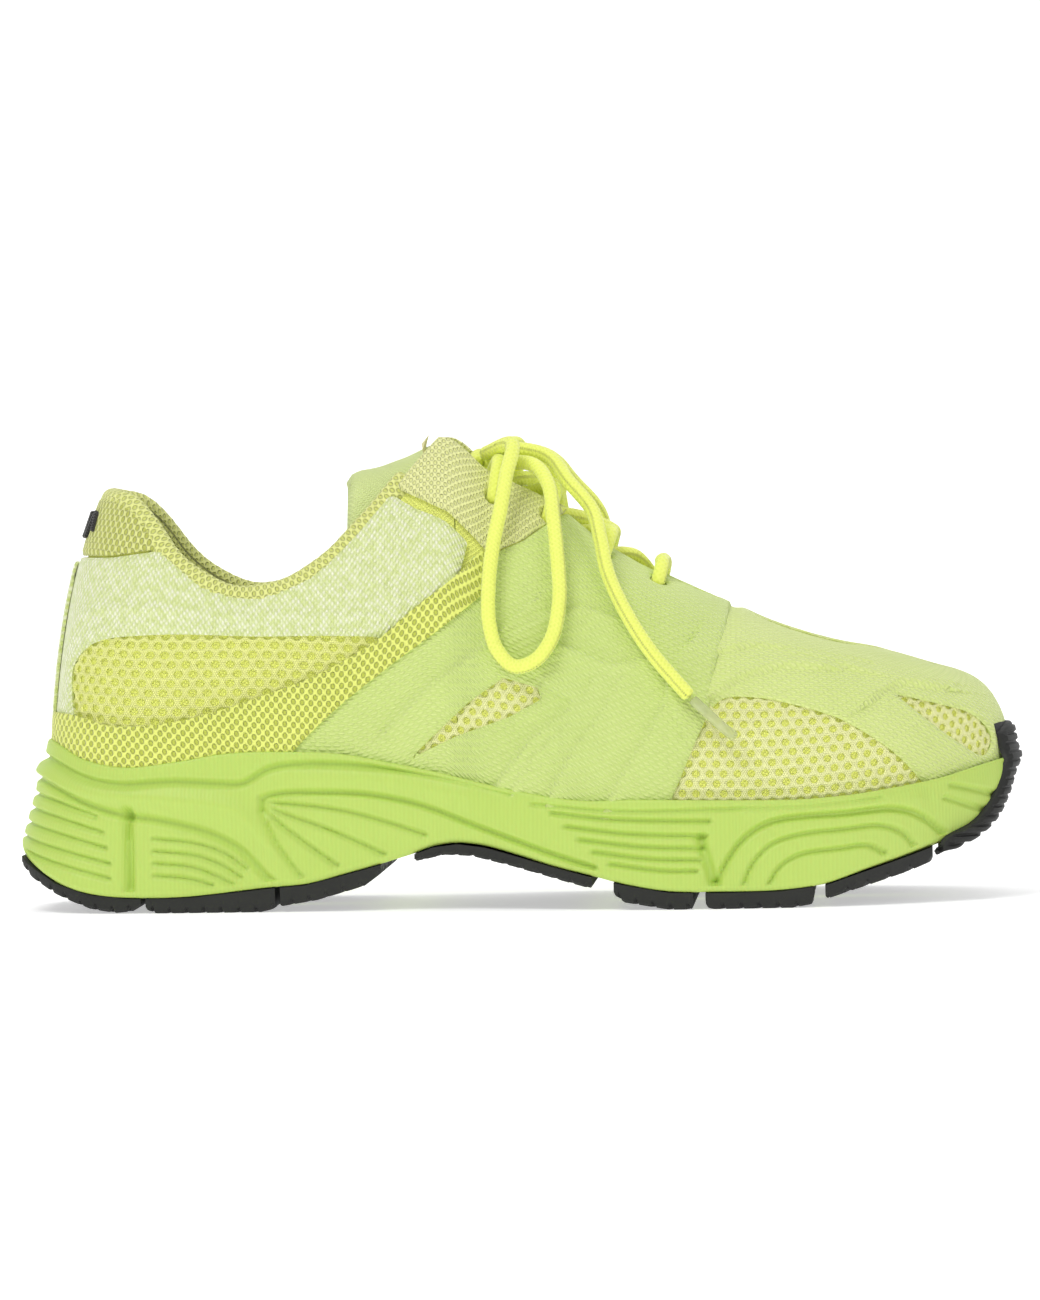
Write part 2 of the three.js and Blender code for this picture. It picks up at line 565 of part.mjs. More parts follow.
// Padded roll round the ankle opening
function collarPoint(x, side, distance) {
  const z = collarSeam(x);
  let turn = 0.5;
  let climb = 0.5;
  for (let k = 0; k < 60; k++) {
    const p = shellPoint(turn, climb, side);
    turn = Math.min(Math.max(turn + (x - p.x) / 600, 0), 1);
    climb = Math.min(Math.max(climb + (z - p.z) / 220, 0), 1);
  }
  return shellPoint(turn, climb, side).addScaledVector(shellNormal(turn, climb, side), distance);
}
const rollDistance = overlayOut - bindingRadius;
const rollStations = [-36, -46, -57, -68, -78, -86, -93, -102, -109, -115, -119.5].map(along);
const rollBack = collarPoint(along(-130), -1, rollDistance);
rollBack.y = 0;
const rollRoute = new THREE.CatmullRomCurve3([
  ...rollStations.map((x) => collarPoint(x, -1, rollDistance)), rollBack,
  ...rollStations.map((x) => collarPoint(x, 1, rollDistance)).reverse()], false, 'centripetal');
const roll = tube(rollRoute, bindingRadius, 32, 8).intersect(sidePrism(aboveCollar(gap), -wide, wide));
place('collar_binding', roll, 0xe4e89c, 0.85);

// Sole pieces inside the shoe
const cavity = lasted((p) => thinLining - padding(p) - gap, 10);
const slab = (low, high) => {
  const line = stations.map((x) => [x, footbed(x)]);
  return sidePrism(vec([...line.map(([x, z]) => [x, z + low]), ...line.map(([x, z]) => [x, z + high]).reverse()]),
    -wide, wide);
};
const boardLow = gap;
const insoleLow = boardLow + boardWall + gap;
place('strobel_board', cavity.intersect(slab(boardLow + 0.2, boardLow + boardWall)), 0xe9e9e0, 0.9);
place('insole', cavity.intersect(slab(insoleLow, insoleLow + insoleWall)), 0xd9e27c, 0.9);

// Tongue: face, foam and lining under the eyestays, rising to its seat at the sewn end
const tongueRise = (p) => (meshIn - gap - tongueOut) * THREE.MathUtils.smoothstep(p.x, along(58), along(72));
const tongueEdge = onStations([[-60, 108], [-50, 108], [-20, 107], [0, 99], [30, 85], [60, 71],
  [80, 62]].map(([x, z]) => [x, lift(z)]));
const tongueLayer = (out, inn) => lasted((p) => tongueOut + tongueRise(p) - out, 0)
  .subtract(lasted((p) => tongueOut + tongueRise(p) - inn, 20));
const tongueHalf = onStations([[-60, 30], [-50, 30], [-40, 31], [-20, 29], [0, 26], [30, 21], [60, 15], [80, 13]]);
const tonguePlan = [tongueTop, tongueTop + 3, tongueTop + 10, -20, 0, 30, 55, tongueEnd]
  .map((x) => [along(x), tongueHalf(along(x))]);
tonguePlan[0][1] -= 6;
const tongueCut = planPrism(vec([...tonguePlan, ...tonguePlan.map(([x, y]) => [x, -y]).reverse()]
  .map(([x, y]) => [x, y + centreLine(x)])), 50, tall)
  .intersect(sidePrism(vec([...tonguePlan.map(([x]) => [x, tongueEdge(x)]), [along(tongueEnd), tall],
    [along(tongueTop), tall]]), -wide, wide));
const tongueFoamIn = tongueFace + gap + tonguePad;
place('tongue_face', tongueLayer(0, tongueFace).intersect(tongueCut), 0xdde99f, 0.85);
place('tongue_foam', tongueLayer(tongueFace + gap, tongueFoamIn).intersect(tongueCut), 0xeee9b8, 0.95);
place('tongue_lining', tongueLayer(tongueFoamIn + gap, tongueFoamIn + gap + liningWall).intersect(tongueCut),
  0xd2d971, 0.9);

// Lacing on the shoe
place('lacing', lacing, 0xdfe782, 0.75);

// Rubber pods under the foam
const soleOutline = (inset) => {
  const points = [];
  for (let k = 0; k < 2 * turns; k++) {
    const side = k <= turns ? -1 : 1;
    const turn = (k <= turns ? k : 2 * turns - k) / turns;
    const p = shellPoint(turn, 0, side);
    const n = shellNormal(turn, 0, side);
    const d = envelope + rimWall + sideFlare * 0.75 + (heelFlare - sideFlare) * 0.62 * heelShare(p.x) - inset;
    points.push([p.x + n.x * d, p.y + n.y * d]);
  }
  return vec(points);
};
const podPlan = planPrism(soleOutline(1.2), -20, 60);
function pod(bottomPairs, y0, y1) {
  const xs = bottomPairs.map(([x]) => along(x));
  const [x0, x1] = [xs[0], xs[xs.length - 1]];
  const top = soleLine.filter(([x]) => x > x0 && x < x1);
  const roof = [[x0, soleHeight(x0)], ...top, [x1, soleHeight(x1)]].map(([x, z]) => [x, z - gap]).reverse();
  const outline = vec([...bottomPairs.map(([x, z]) => [along(x), z]), ...roof]);
  return sidePrism(outline, y0, y1).intersect(podPlan);
}
const channel = 4; // half width of the groove along the middle
const rubber = (name, body) => place(name, body, 0x2b2c29, 0.8);
rubber('outsole_heel_rear', pod([[-149, 15.8], [-144, 10.4], [-136, 5.6], [-126, 1.4], [-118, 0.2], [-113, 0.6], [-110.5, 2]],
  -wide, wide));
const podRows = [
  ['outsole_heel', [[-109, 1.2], [-106, 0], [-75, 0], [-70.5, 1]]],
  ['outsole_arch', [[-69, 1.6], [-58, 3.4], [-44, 7.4], [-39, 11]]],
  ['outsole_forefoot_1', [[29.8, 4.6], [33, 2.2], [46, 0], [53, 0]]],
  ['outsole_forefoot_2', [[56.6, 0.6], [59, 0], [82, 0], [88, 1]]],
  ['outsole_forefoot_3', [[91.5, 2.2], [104, 6], [116, 9.6], [123, 12.3]]],
];
for (const [name, line] of podRows) {
  const mid = centreLine(along((line[0][0] + line[line.length - 1][0]) / 2));
  rubber(name + '_lateral', pod(line, -wide, mid - channel));
  rubber(name + '_medial', pod(line, mid + channel, wide));
}
rubber('outsole_midfoot', pod([[-29, 14.4], [-20, 16.4], [-12, 16], [0, 13], [12, 9.4], [23.5, 6.2]],
  -wide, wide));

// Toe bumper: wraps the front of the foam up to the upper
const bumperMiddle = 6;
const bumperTop = 52.5;
const bumperEdge = [[40, 8], [40, 17], [38, 19.5], [32, 23], [26, 28], [20, 34], [16.5, 42], [12, 49.5]];
const bumperFace = vec([...bumperEdge.map(([y, z]) => [bumperMiddle - y, z]), [bumperMiddle, bumperTop],
  ...bumperEdge.map(([y, z]) => [bumperMiddle + y, z]).reverse()]);
const facePrism = new THREE.ExtrudeGeometry(new THREE.Shape(bumperFace), { depth: 90, bevelEnabled: false });
facePrism.rotateX(Math.PI / 2);
facePrism.rotateZ(Math.PI / 2);
facePrism.translate(along(124.2), 0, 0);
const bumperZone = fromGeometry(facePrism);
const bumperSide = sidePrism(soleSide(rubberWall, 30), -wide, wide);
const foamSide = sidePrism(soleSide(gap, gap), -wide, wide);
const bumper = soleWall(bumperWall + gap).intersect(bumperSide).intersect(bumperZone)
  .subtract(soleWall(gap).intersect(foamSide)).subtract(lasted(envelope + gap, 3))
  .subtract(block(along(100), along(140), -wide, wide, 40, tall));
rubber('outsole_toe', bumper);

// Origin under the middle of the shoe, laces left out
const middle = new THREE.Box3().setFromObject(shoe).getCenter(new THREE.Vector3());
shoe.position.set(-Math.round(middle.x * 10) / 10, -Math.round(middle.y * 10) / 10, 0);

// Bow knot, loops and free ends
const knotGeometry = new THREE.SphereGeometry(1, 14, 8);
knotGeometry.scale(...knotSize);
knotGeometry.translate(knotCentre.x, knotCentre.y, knotCentre.z);
place('bow_knot', fromGeometry(knotGeometry), 0xdfe782, 0.75);

// Point on the side of the shoe under a place seen from the side
function sidePoint(x, z, side, distance) {
  let turn = 0.5;
  let climb = 0.6;
  for (let k = 0; k < 80; k++) {
    const p = shellPoint(turn, climb, side);
    turn = Math.min(Math.max(turn + (along(x) - p.x) / 600, 0), 1);
    climb = Math.min(Math.max(climb + (lift(z) - p.z) / 220, 0), 1);
  }
  return shellPoint(turn, climb, side).addScaledVector(shellNormal(turn, climb, side), distance);
}
const lay = strapOut + gap + laceRadius + 0.5;
const loopPairs = [[-4.6, 105], [-5.4, 94], [-5, 83.5], [-2.6, 75.6], [2.2, 70.8], [7.8, 71.8], [12.6, 77.6],
  [14.4, 88], [13.4, 98]];
const endPairs = [[27, 94.5], [33.6, 83], [41.5, 72.3], [52.5, 60]];
const tipPairs = [[52.85, 59.65], [60.4, 52.8], [65.8, 48.4]];
for (const s of sides) {
  const p = (pair, d) => sidePoint(pair[0], pair[1], s.sign, d);
  const from = (dx, dy, dz) => fromKnot(dx, s.sign * dy, dz);
  const over = (x, across, d) => instepPoint(along(x), s.sign * across * bowScale, d * bowScale);
  const loopRoute = new THREE.CatmullRomCurve3([from(-0.5, 5.6, 3.6), over(-4.4, 12.4, 12.4),
    over(-3.4, 19.5, 10.2), p([-3.2, 114], lay + 2.4), ...loopPairs.map((q) => p(q, lay)),
    p([10.4, 110], lay + 2.4), over(7.8, 17.5, 9.6), over(3.2, 11.6, 8.8), from(5.4, 4, 0.9)], false, 'centripetal');
  place('lace_loop_' + s.name, tube(loopRoute, laceRadius, 36, 8), 0xdfe782, 0.75);
  const endRoute = new THREE.CatmullRomCurve3([from(2.6, 2.7, 5.8), over(4.8, 3.6, 10.6), over(12, 12.2, 9.8),
    p([18.5, 110], lay + 3.6), p([23, 102.5], lay + 2), ...endPairs.map((q) => p(q, lay))], false, 'centripetal');
  place('lace_end_' + s.name, tube(endRoute, laceRadius, 22, 8), 0xdfe782, 0.75);
  const tipRoute = new THREE.CatmullRomCurve3(tipPairs.map((q) => p(q, lay)), false, 'centripetal');
  place('lace_tip_' + s.name, tube(tipRoute, tipRadius, 4, 8), 0xe8ecc0, 0.25);
}

export default shoe;
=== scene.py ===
# Blender look of the right running shoe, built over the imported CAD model
import math
import bpy
import numpy as np
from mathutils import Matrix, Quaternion, Vector


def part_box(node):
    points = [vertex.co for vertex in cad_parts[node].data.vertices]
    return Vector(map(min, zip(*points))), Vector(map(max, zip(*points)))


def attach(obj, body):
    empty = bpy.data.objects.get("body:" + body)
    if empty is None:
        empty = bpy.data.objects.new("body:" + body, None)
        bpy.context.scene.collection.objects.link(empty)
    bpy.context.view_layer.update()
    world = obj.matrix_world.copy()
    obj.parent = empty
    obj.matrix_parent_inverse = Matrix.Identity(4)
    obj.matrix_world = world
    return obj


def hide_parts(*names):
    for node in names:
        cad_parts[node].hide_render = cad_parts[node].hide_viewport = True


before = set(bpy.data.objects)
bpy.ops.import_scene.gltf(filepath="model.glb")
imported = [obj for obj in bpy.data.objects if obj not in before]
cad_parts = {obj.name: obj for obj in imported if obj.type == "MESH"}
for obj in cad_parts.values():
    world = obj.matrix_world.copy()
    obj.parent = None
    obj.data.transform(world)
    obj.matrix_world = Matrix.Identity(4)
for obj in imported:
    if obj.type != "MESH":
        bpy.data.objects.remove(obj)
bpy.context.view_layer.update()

# The origin of the record's frame, in the millimetre frame that the outlines below use
shift = np.array([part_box("outsole_heel_lateral")[0][0] * 1000 + 109,
                  (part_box("heel_tape")[0][1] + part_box("heel_tape")[1][1]) * 500, 0.0])


# Shared shape of the upper
def profile(pairs):
    xs = np.array([p[0] for p in pairs], float)
    ys = np.array([p[1] for p in pairs], float)
    n = len(xs)
    lo = np.maximum(np.arange(n) - 1, 0)
    hi = np.minimum(np.arange(n) + 1, n - 1)
    slope = (ys[hi] - ys[lo]) / (xs[hi] - xs[lo])

    def value(x):
        x = np.clip(x, xs[0], xs[-1])
        i = np.clip(np.searchsorted(xs, x, side="right") - 1, 0, n - 2)
        d = xs[i + 1] - xs[i]
        t = (x - xs[i]) / d
        return (ys[i] * (1 + 2 * t) * (1 - t) ** 2 + slope[i] * d * t * (1 - t) ** 2
                + ys[i + 1] * t * t * (3 - 2 * t) + slope[i + 1] * d * t * t * (t - 1))
    return value


shell = {"heelEnd": -137.5, "length": 283.0, "instep": 109.0, "heelCap": 42.0, "toeCap": 66.0}
layers = {"strapOut": 2.9, "laceRadius": 2.2, "tongueOut": -7.4, "rollRadius": 3.6}
footbed = profile([[-138, 36], [-110, 34], [-70, 33.5], [-20, 30], [20, 24.5], [50, 22], [80, 22],
                   [110, 24.5], [130, 28.5], [146, 34]])
ridgeShape = profile([[-95, 1.06], [-70, 0.98], [-50, 0.955], [-36, 0.995], [-20, 1.04], [-8, 0.945],
                      [0, 0.912], [12, 0.86], [24, 0.778], [36, 0.713], [48, 0.664], [62, 0.604],
                      [76, 0.546], [95, 0.475], [110, 0.425], [123, 0.355]])
ridgeStation = profile([[-137.5, -95], [-115, -88], [-90, -76], [-60, -57], [-20, -20], [60, 60],
                        [85, 83], [110, 101], [130, 115], [145.5, 123]])
fullWidth = profile([[-137, 34], [-95, 34.5], [-60, 35], [-25, 36], [10, 42], [45, 47], [65, 48],
                     [90, 48], [120, 47], [146, 46]])
centreLine = profile([[-137, 0], [-80, 0], [-40, -2], [10, -3.5], [50, -3], [90, 0], [125, 4], [146, 6]])
roundness = profile([[-138, 2], [-90, 2.2], [-40, 2.4], [40, 2.4], [90, 2.5], [146, 2.8]])
rimLine = profile([[-150, 52.5], [-136, 50.5], [-126, 45.5], [-114, 43.2], [-100, 44.6], [-84, 47],
                   [-66, 47.3], [-50, 46.4], [-36, 43.8], [-20, 40.4], [0, 35.6], [20, 32.2], [36, 32.3],
                   [80, 31.6], [96, 32.4], [110, 34.2], [124, 36.6], [136, 39.8], [150, 43]])
throatHalf = profile([[-60, 18], [-25, 15], [-10, 13.2], [0, 12.5], [15, 11], [30, 9.5], [45, 8.2], [56, 7.2]])
collarPairs = [[-132, 122.5], [-122, 122.5], [-114, 120], [-108, 114], [-102, 105.5], [-93, 98],
               [-86, 94.3], [-78, 92.8], [-68, 94.5], [-57, 100], [-46, 110], [-36, 121.5], [-28, 131]]
collarSeam = profile(collarPairs)


def ridgeHeight(x):
    return footbed(x) + shell["instep"] * ridgeShape(x)


def halfWidth(x):
    h = np.clip((shell["heelEnd"] + shell["heelCap"] - x) / shell["heelCap"], 0, 1)
    t = np.clip((x - shell["heelEnd"] - shell["length"] + shell["toeCap"]) / shell["toeCap"], 0, 1)
    return fullWidth(x) * (1 - h ** 2.2) ** (1 / 2.2) * (1 - t ** 2.1) ** (1 / 2.1)


def shellPoint(turn, climb, side):
    x = shell["heelEnd"] + shell["length"] * (0.5 - 0.5 * np.cos(np.pi * turn))
    xr = ridgeStation(x)
    power = 2 / roundness(x)
    angle = climb * np.pi / 2
    inward = np.maximum(np.cos(angle), 0) ** power
    up = np.sin(angle) ** power
    y = centreLine(xr) + (side * halfWidth(x) + centreLine(x) - centreLine(xr)) * inward
    z = footbed(x) + (ridgeHeight(xr) - footbed(x)) * up
    return np.stack([xr + (x - xr) * inward, y, z], -1)


def shellNormal(turn, climb, side):
    e = 0.004
    t = np.clip(turn, 0.002, 0.998)
    c = np.clip(climb, e, 1 - e)
    du = shellPoint(t + e / 2, c, side) - shellPoint(t - e / 2, c, side)
    dv = shellPoint(t, c + e, side) - shellPoint(t, c - e, side)
    n = np.cross(du, dv) * np.where(side < 0, 1.0, -1.0)[..., None]
    n[..., 2] = np.where(climb < 0.001, 0, n[..., 2])
    n[..., 1] = np.where((climb > 0.999) | (turn < 0.001) | (turn > 0.999), 0, n[..., 1])
    return n / np.linalg.norm(n, axis=-1)[..., None]


def smoothstep(x, a, b):
    t = np.clip((x - a) / (b - a), 0, 1)
    return t * t * (3 - 2 * t)


def padding(p):
    return 4.6 * smoothstep(p[..., 2], 72, 98) * (1 - smoothstep(p[..., 0], -82, -58))


def spline(points, steps=10):
    pts = [np.array(p, float) for p in points]
    pts = [2 * pts[0] - pts[1]] + pts + [2 * pts[-1] - pts[-2]]
    out = []
    for i in range(1, len(pts) - 2):
        p0, p1, p2, p3 = pts[i - 1:i + 3]
        d0, d1, d2 = [max(np.linalg.norm(b - a), 1e-6) ** 0.5 for a, b in ((p0, p1), (p1, p2), (p2, p3))]
        t1 = ((p1 - p0) / d0 - (p2 - p0) / (d0 + d1) + (p2 - p1) / d1) * d1
        t2 = ((p2 - p1) / d1 - (p3 - p1) / (d1 + d2) + (p3 - p2) / d2) * d1
        for s in np.arange(steps) / steps:
            out.append(p1 * (1 + 2 * s) * (1 - s) ** 2 + t1 * s * (1 - s) ** 2
                       + p2 * s * s * (3 - 2 * s) + t2 * s * s * (s - 1))
    out.append(pts[-2])
    return np.array(out)


def inside(px, py, outline):
    # distance to the outline, positive inside
    o = np.array(outline, float)
    q = np.roll(o, -1, axis=0)
    best = np.full(px.shape, 1e9)
    crossed = np.zeros(px.shape, bool)
    for (ax, ay), (bx, by) in zip(o, q):
        dx, dy = bx - ax, by - ay
        length = dx * dx + dy * dy
        if length < 1e-9:
            continue
        t = np.clip(((px - ax) * dx + (py - ay) * dy) / length, 0, 1)
        best = np.minimum(best, (px - ax - t * dx) ** 2 + (py - ay - t * dy) ** 2)
        if ay != by:
            hit = ((ay > py) != (by > py)) & (px < dx * (py - ay) / dy + ax)
            crossed ^= hit
    return np.where(crossed, 1, -1) * np.sqrt(best)


def lineDistance(px, py, points):
    best = np.full(px.shape, 1e9)
    for (ax, ay), (bx, by) in zip(points[:-1], points[1:]):
        dx, dy = bx - ax, by - ay
        t = np.clip(((px - ax) * dx + (py - ay) * dy) / (dx * dx + dy * dy), 0, 1)
        best = np.minimum(best, (px - ax - t * dx) ** 2 + (py - ay - t * dy) ** 2)
    return np.sqrt(best)


# Arc lengths along the shell, for even meshes and unstretched textures
turnTable = np.linspace(0, 1, 401)
lowLine = shellPoint(turnTable, np.full(401, 0.2), np.full(401, -1.0))
turnArc = np.concatenate([[0], np.cumsum(np.linalg.norm(np.diff(lowLine, axis=0), axis=1))])
climbTable = np.linspace(0, 1, 121)
girth = {}
for sign in (-1, 1):
    tt, cc = np.meshgrid(turnTable, climbTable, indexing="ij")
    pts = shellPoint(tt, cc, np.full(tt.shape, float(sign)))
    girth[sign] = np.concatenate([np.zeros((401, 1)),
                                  np.cumsum(np.linalg.norm(np.diff(pts, axis=1), axis=2), axis=1)], axis=1)


def girthAt(turn, climb, side):
    i = np.clip(turn * 400, 0, 399.999)
    j = np.clip(climb * 120, 0, 119.999)
    i0, j0 = i.astype(int), j.astype(int)
    fi, fj = i - i0, j - j0
    out = np.zeros(turn.shape)
    for sign in (-1, 1):
        g = girth[sign]
        v = (g[i0, j0] * (1 - fi) * (1 - fj) + g[i0 + 1, j0] * fi * (1 - fj)
             + g[i0, j0 + 1] * (1 - fi) * fj + g[i0 + 1, j0 + 1] * fi * fj)
        out = np.where(side == sign, v, out)
    return out


# Objects
def activate(obj):
    bpy.ops.object.select_all(action="DESELECT")
    obj.select_set(True)
    bpy.context.view_layer.objects.active = obj


def apply(obj, kind, **values):
    activate(obj)
    m = obj.modifiers.new(kind.lower(), kind)
    for key, value in values.items():
        setattr(m, key, value)
    bpy.ops.object.modifier_apply(modifier=m.name)


def setMode(mode):
    bpy.ops.object.mode_set(mode=mode)


def coords(mesh):
    co = np.empty(len(mesh.vertices) * 3)
    mesh.vertices.foreach_get("co", co)
    return co.reshape(-1, 3)


def addGrid(name, columns, rows):
    bpy.ops.mesh.primitive_grid_add(x_subdivisions=columns, y_subdivisions=rows, size=1)
    obj = bpy.context.object
    obj.name = name
    return obj


def gridPlace(obj, columns, rows):
    # column and row of each vertex
    co = coords(obj.data)
    return [np.rint((co[:, k] + 0.5) * n).astype(int) for k, n in ((0, columns), (1, rows))]


def setCoords(mesh, millimetres):
    mesh.vertices.foreach_set("co", ((millimetres + shift) * 0.001).ravel())
    mesh.update()


def setUv(mesh, uv):
    layer = mesh.uv_layers[0] if mesh.uv_layers else mesh.uv_layers.new(name="flat")
    index = np.empty(len(mesh.loops), int)
    mesh.loops.foreach_get("vertex_index", index)
    layer.data.foreach_set("uv", (uv[index] * 0.001).ravel())


def finishPiece(obj, material, nodes=(), body="shoe", angle=40):
    activate(obj)
    bpy.ops.object.shade_smooth_by_angle(angle=math.radians(angle))
    obj.data.materials.clear()
    obj.data.materials.append(material)
    if nodes:
        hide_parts(*nodes)
    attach(obj, body)
    return obj


def boundary(mesh):
    edges = np.empty(len(mesh.loops), int)
    mesh.loops.foreach_get("edge_index", edges)
    count = np.bincount(edges, minlength=len(mesh.edges))
    ends = np.empty(len(mesh.edges) * 2, int)
    mesh.edges.foreach_get("vertices", ends)
    return np.unique(ends.reshape(-1, 2)[count == 1])


def skin(name, area, distance, wall, cell=1.2, sides=(-1, 1), flip=False):
    # grid over the shell, u from heel to toe, v from the lateral feather line over the ridge to the medial one
    nu = int(turnArc[-1] / cell)
    nv = int(118 / cell) * len(sides)
    obj = addGrid(name, nu, nv)
    mesh = obj.data

    def place(co):
        u = np.clip(co[:, 0] + 0.5, 0, 1)
        v = np.clip(co[:, 1] + 0.5, 0, 1)
        turn = np.interp(u * turnArc[-1], turnArc, turnTable)
        if len(sides) == 2:
            w = v * 2 - 1
            return turn, 1 - np.abs(w), np.where(w <= 0, -1.0, 1.0)
        return turn, (v if sides[0] < 0 else 1 - v), np.full(u.shape, float(sides[0]))

    def value(co):
        turn, climb, side = place(co)
        return area(shellPoint(turn, climb, side), side)

    co = coords(mesh)
    corner = np.empty(len(mesh.loops), int)
    mesh.loops.foreach_get("vertex_index", corner)
    middle = co[corner.reshape(-1, 4)].mean(axis=1)
    drop = value(middle) < 0
    setMode("EDIT")
    bpy.ops.mesh.select_mode(type="FACE")
    bpy.ops.mesh.select_all(action="DESELECT")
    setMode("OBJECT")
    mesh.polygons.foreach_set("select", drop)
    setMode("EDIT")
    bpy.ops.mesh.delete(type="FACE")
    setMode("OBJECT")
    co = coords(mesh)
    rim = boundary(mesh)
    # the border is pulled onto the outline
    step = 0.002
    edge = co[rim].copy()
    for _ in range(6):
        f = value(edge)
        fx = (value(edge + [step, 0, 0]) - value(edge - [step, 0, 0])) / (2 * step)
        fy = (value(edge + [0, step, 0]) - value(edge - [0, step, 0])) / (2 * step)
        size = fx * fx + fy * fy + 1e-6
        move = np.stack([-f * fx / size, -f * fy / size], -1)
        limit = np.array([1.2 / nu, 1.2 / nv])
        move = np.clip(move, -limit, limit)
        near = np.abs(f) < 4
        edge[:, :2] = np.clip(edge[:, :2] + move * near[:, None], -0.5, 0.5)
    held = (np.abs(co[rim][:, 0]) > 0.4999) | (np.abs(co[rim][:, 1]) > 0.4999)
    edge = np.where(held[:, None], co[rim], edge)
    co[rim] = edge
    turn, climb, side = place(co)
    p = shellPoint(turn, climb, side)
    n = shellNormal(turn, climb, side)
    f = area(p, side)
    f[rim] = np.where(held, f[rim], 0)
    d = distance(p, side, np.maximum(f, 0))
    q = p + n * np.broadcast_to(d, f.shape)[:, None]
    setCoords(mesh, q)
    ridgeGap = girthAt(turn, np.ones(turn.shape), side) - girthAt(turn, climb, side)
    setUv(mesh, np.stack([np.interp(turn, turnTable, turnArc), ridgeGap * side], -1))
    apply(obj, "WELD", merge_threshold=0.00002)
    if flip:
        setMode("EDIT")
        bpy.ops.mesh.select_all(action="SELECT")
        bpy.ops.mesh.flip_normals()
        setMode("OBJECT")
    if wall:
        apply(obj, "SOLIDIFY", thickness=wall * 0.001, offset=-1, use_even_offset=False)
    return obj


def sheet(node, look, area, distance, wall, cell=1.2, sides=(-1, 1), body="shoe", flip=False):
    # a textile piece of the upper, in place of its CAD node
    obj = skin(node + "_look", area, distance, wall, cell, sides, flip)
    return finishPiece(obj, finish[look], [node], body)


def evenly(value):
    return lambda p, s, f: np.full(f.shape, value)


def rolled(out, radius=0.9, drop=0.7):
    # surface that turns down at its border
    def distance(p, side, f):
        t = np.clip(1 - f / radius, 0, 1)
        return out - drop * (1 - np.sqrt(np.maximum(1 - t * t, 0)))
    return distance


def hexNet(name, area, cellWide, cellTall, hole, out, wall):
    # open hexagon textile, one ring of faces round each hole
    verts, uvs, faces = [], [], []
    columns = int(turnArc[-1] / cellWide)
    rowsPer = int(125 / (cellTall * 0.75))
    corners = np.array([[0, 0.5], [-0.25, 0.375], [-0.5, 0.25], [-0.5, 0], [-0.5, -0.25], [-0.25, -0.375],
                        [0, -0.5], [0.25, -0.375], [0.5, -0.25], [0.5, 0], [0.5, 0.25], [0.25, 0.375]])
    ang = np.pi / 2 + np.arange(12) * np.pi / 6
    circle = np.stack([np.cos(ang), np.sin(ang)], -1) * 0.5
    for sign in (-1, 1):
        cx, cy = np.meshgrid(np.arange(columns + 1) * cellWide, np.arange(rowsPer + 1) * cellTall * 0.75,
                             indexing="ij")
        cx = cx + (np.arange(rowsPer + 1)[None, :] % 2) * cellWide / 2
        cx, cy = cx.ravel(), cy.ravel()
        t, c = unrolled(cx, cy, sign)
        s = np.full(t.shape, float(sign))
        ok = (c < 1) & (area(shellPoint(t, np.minimum(c, 1), s), s) > -cellTall * 0.9)
        cx, cy = cx[ok], cy[ok]
        for outer, inner, level in ((1.0, 0, 0.12), (0.45, 0.5 * hole, 0.10), (0, hole, -0.22),
                                    (0, hole * 0.9, -0.6)):
            ring = corners * outer + circle * inner
            px = (cx[:, None] + ring[None, :, 0] * cellWide).ravel()
            py = (cy[:, None] + ring[None, :, 1] * cellTall).ravel()
            t, c = unrolled(px, py, sign)
            s = np.full(t.shape, float(sign))
            p = shellPoint(t, np.minimum(c, 1), s) + shellNormal(t, np.minimum(c, 1), s) * (out + level)
            verts.append(p)
            uvs.append(np.stack([px, py * sign], -1))
    # rings of one side follow one another: four rings per side
    offsets = np.cumsum([0] + [len(v) for v in verts])
    for sideIndex in (0, 1):
        base = [offsets[sideIndex * 4 + k] for k in range(4)]
        cells = len(verts[sideIndex * 4]) // 12
        for cell in range(cells):
            for r in range(3):
                a, b = base[r] + cell * 12, base[r + 1] + cell * 12
                for k in range(12):
                    m = (k + 1) % 12
                    if sideIndex == 0:
                        faces.append((a + k, a + m, b + m, b + k))
                    else:
                        faces.append((a + m, a + k, b + k, b + m))
    mesh = bpy.data.meshes.new(name)
    points = np.concatenate(verts)
    mesh.from_pydata(((points + shift) * 0.001).tolist(), [], faces)
    obj = bpy.data.objects.new(name, mesh)
    bpy.context.collection.objects.link(obj)
    setUv(mesh, np.concatenate(uvs))
    apply(obj, "WELD", merge_threshold=0.00008)
    if wall:
        apply(obj, "SOLIDIFY", thickness=wall * 0.001, offset=-1)
    return obj


def unrolled(px, py, sign):
    # turn and climb of a place given by its lengths along and up the shell
    turn = np.interp(px, turnArc, turnTable)
    i = np.clip(turn * 400, 0, 399.999)
    i0 = i.astype(int)
    fi = (i - i0)[:, None]
    g = girth[sign][i0] * (1 - fi) + girth[sign][i0 + 1] * fi
    j = np.clip((g < py[:, None]).sum(axis=1), 1, 120)
    rows = np.arange(len(px))
    lo, hi = g[rows, j - 1], g[rows, j]
    climb = (j - 1 + np.clip((py - lo) / np.maximum(hi - lo, 1e-6), 0, None)) / 120
    return turn, climb


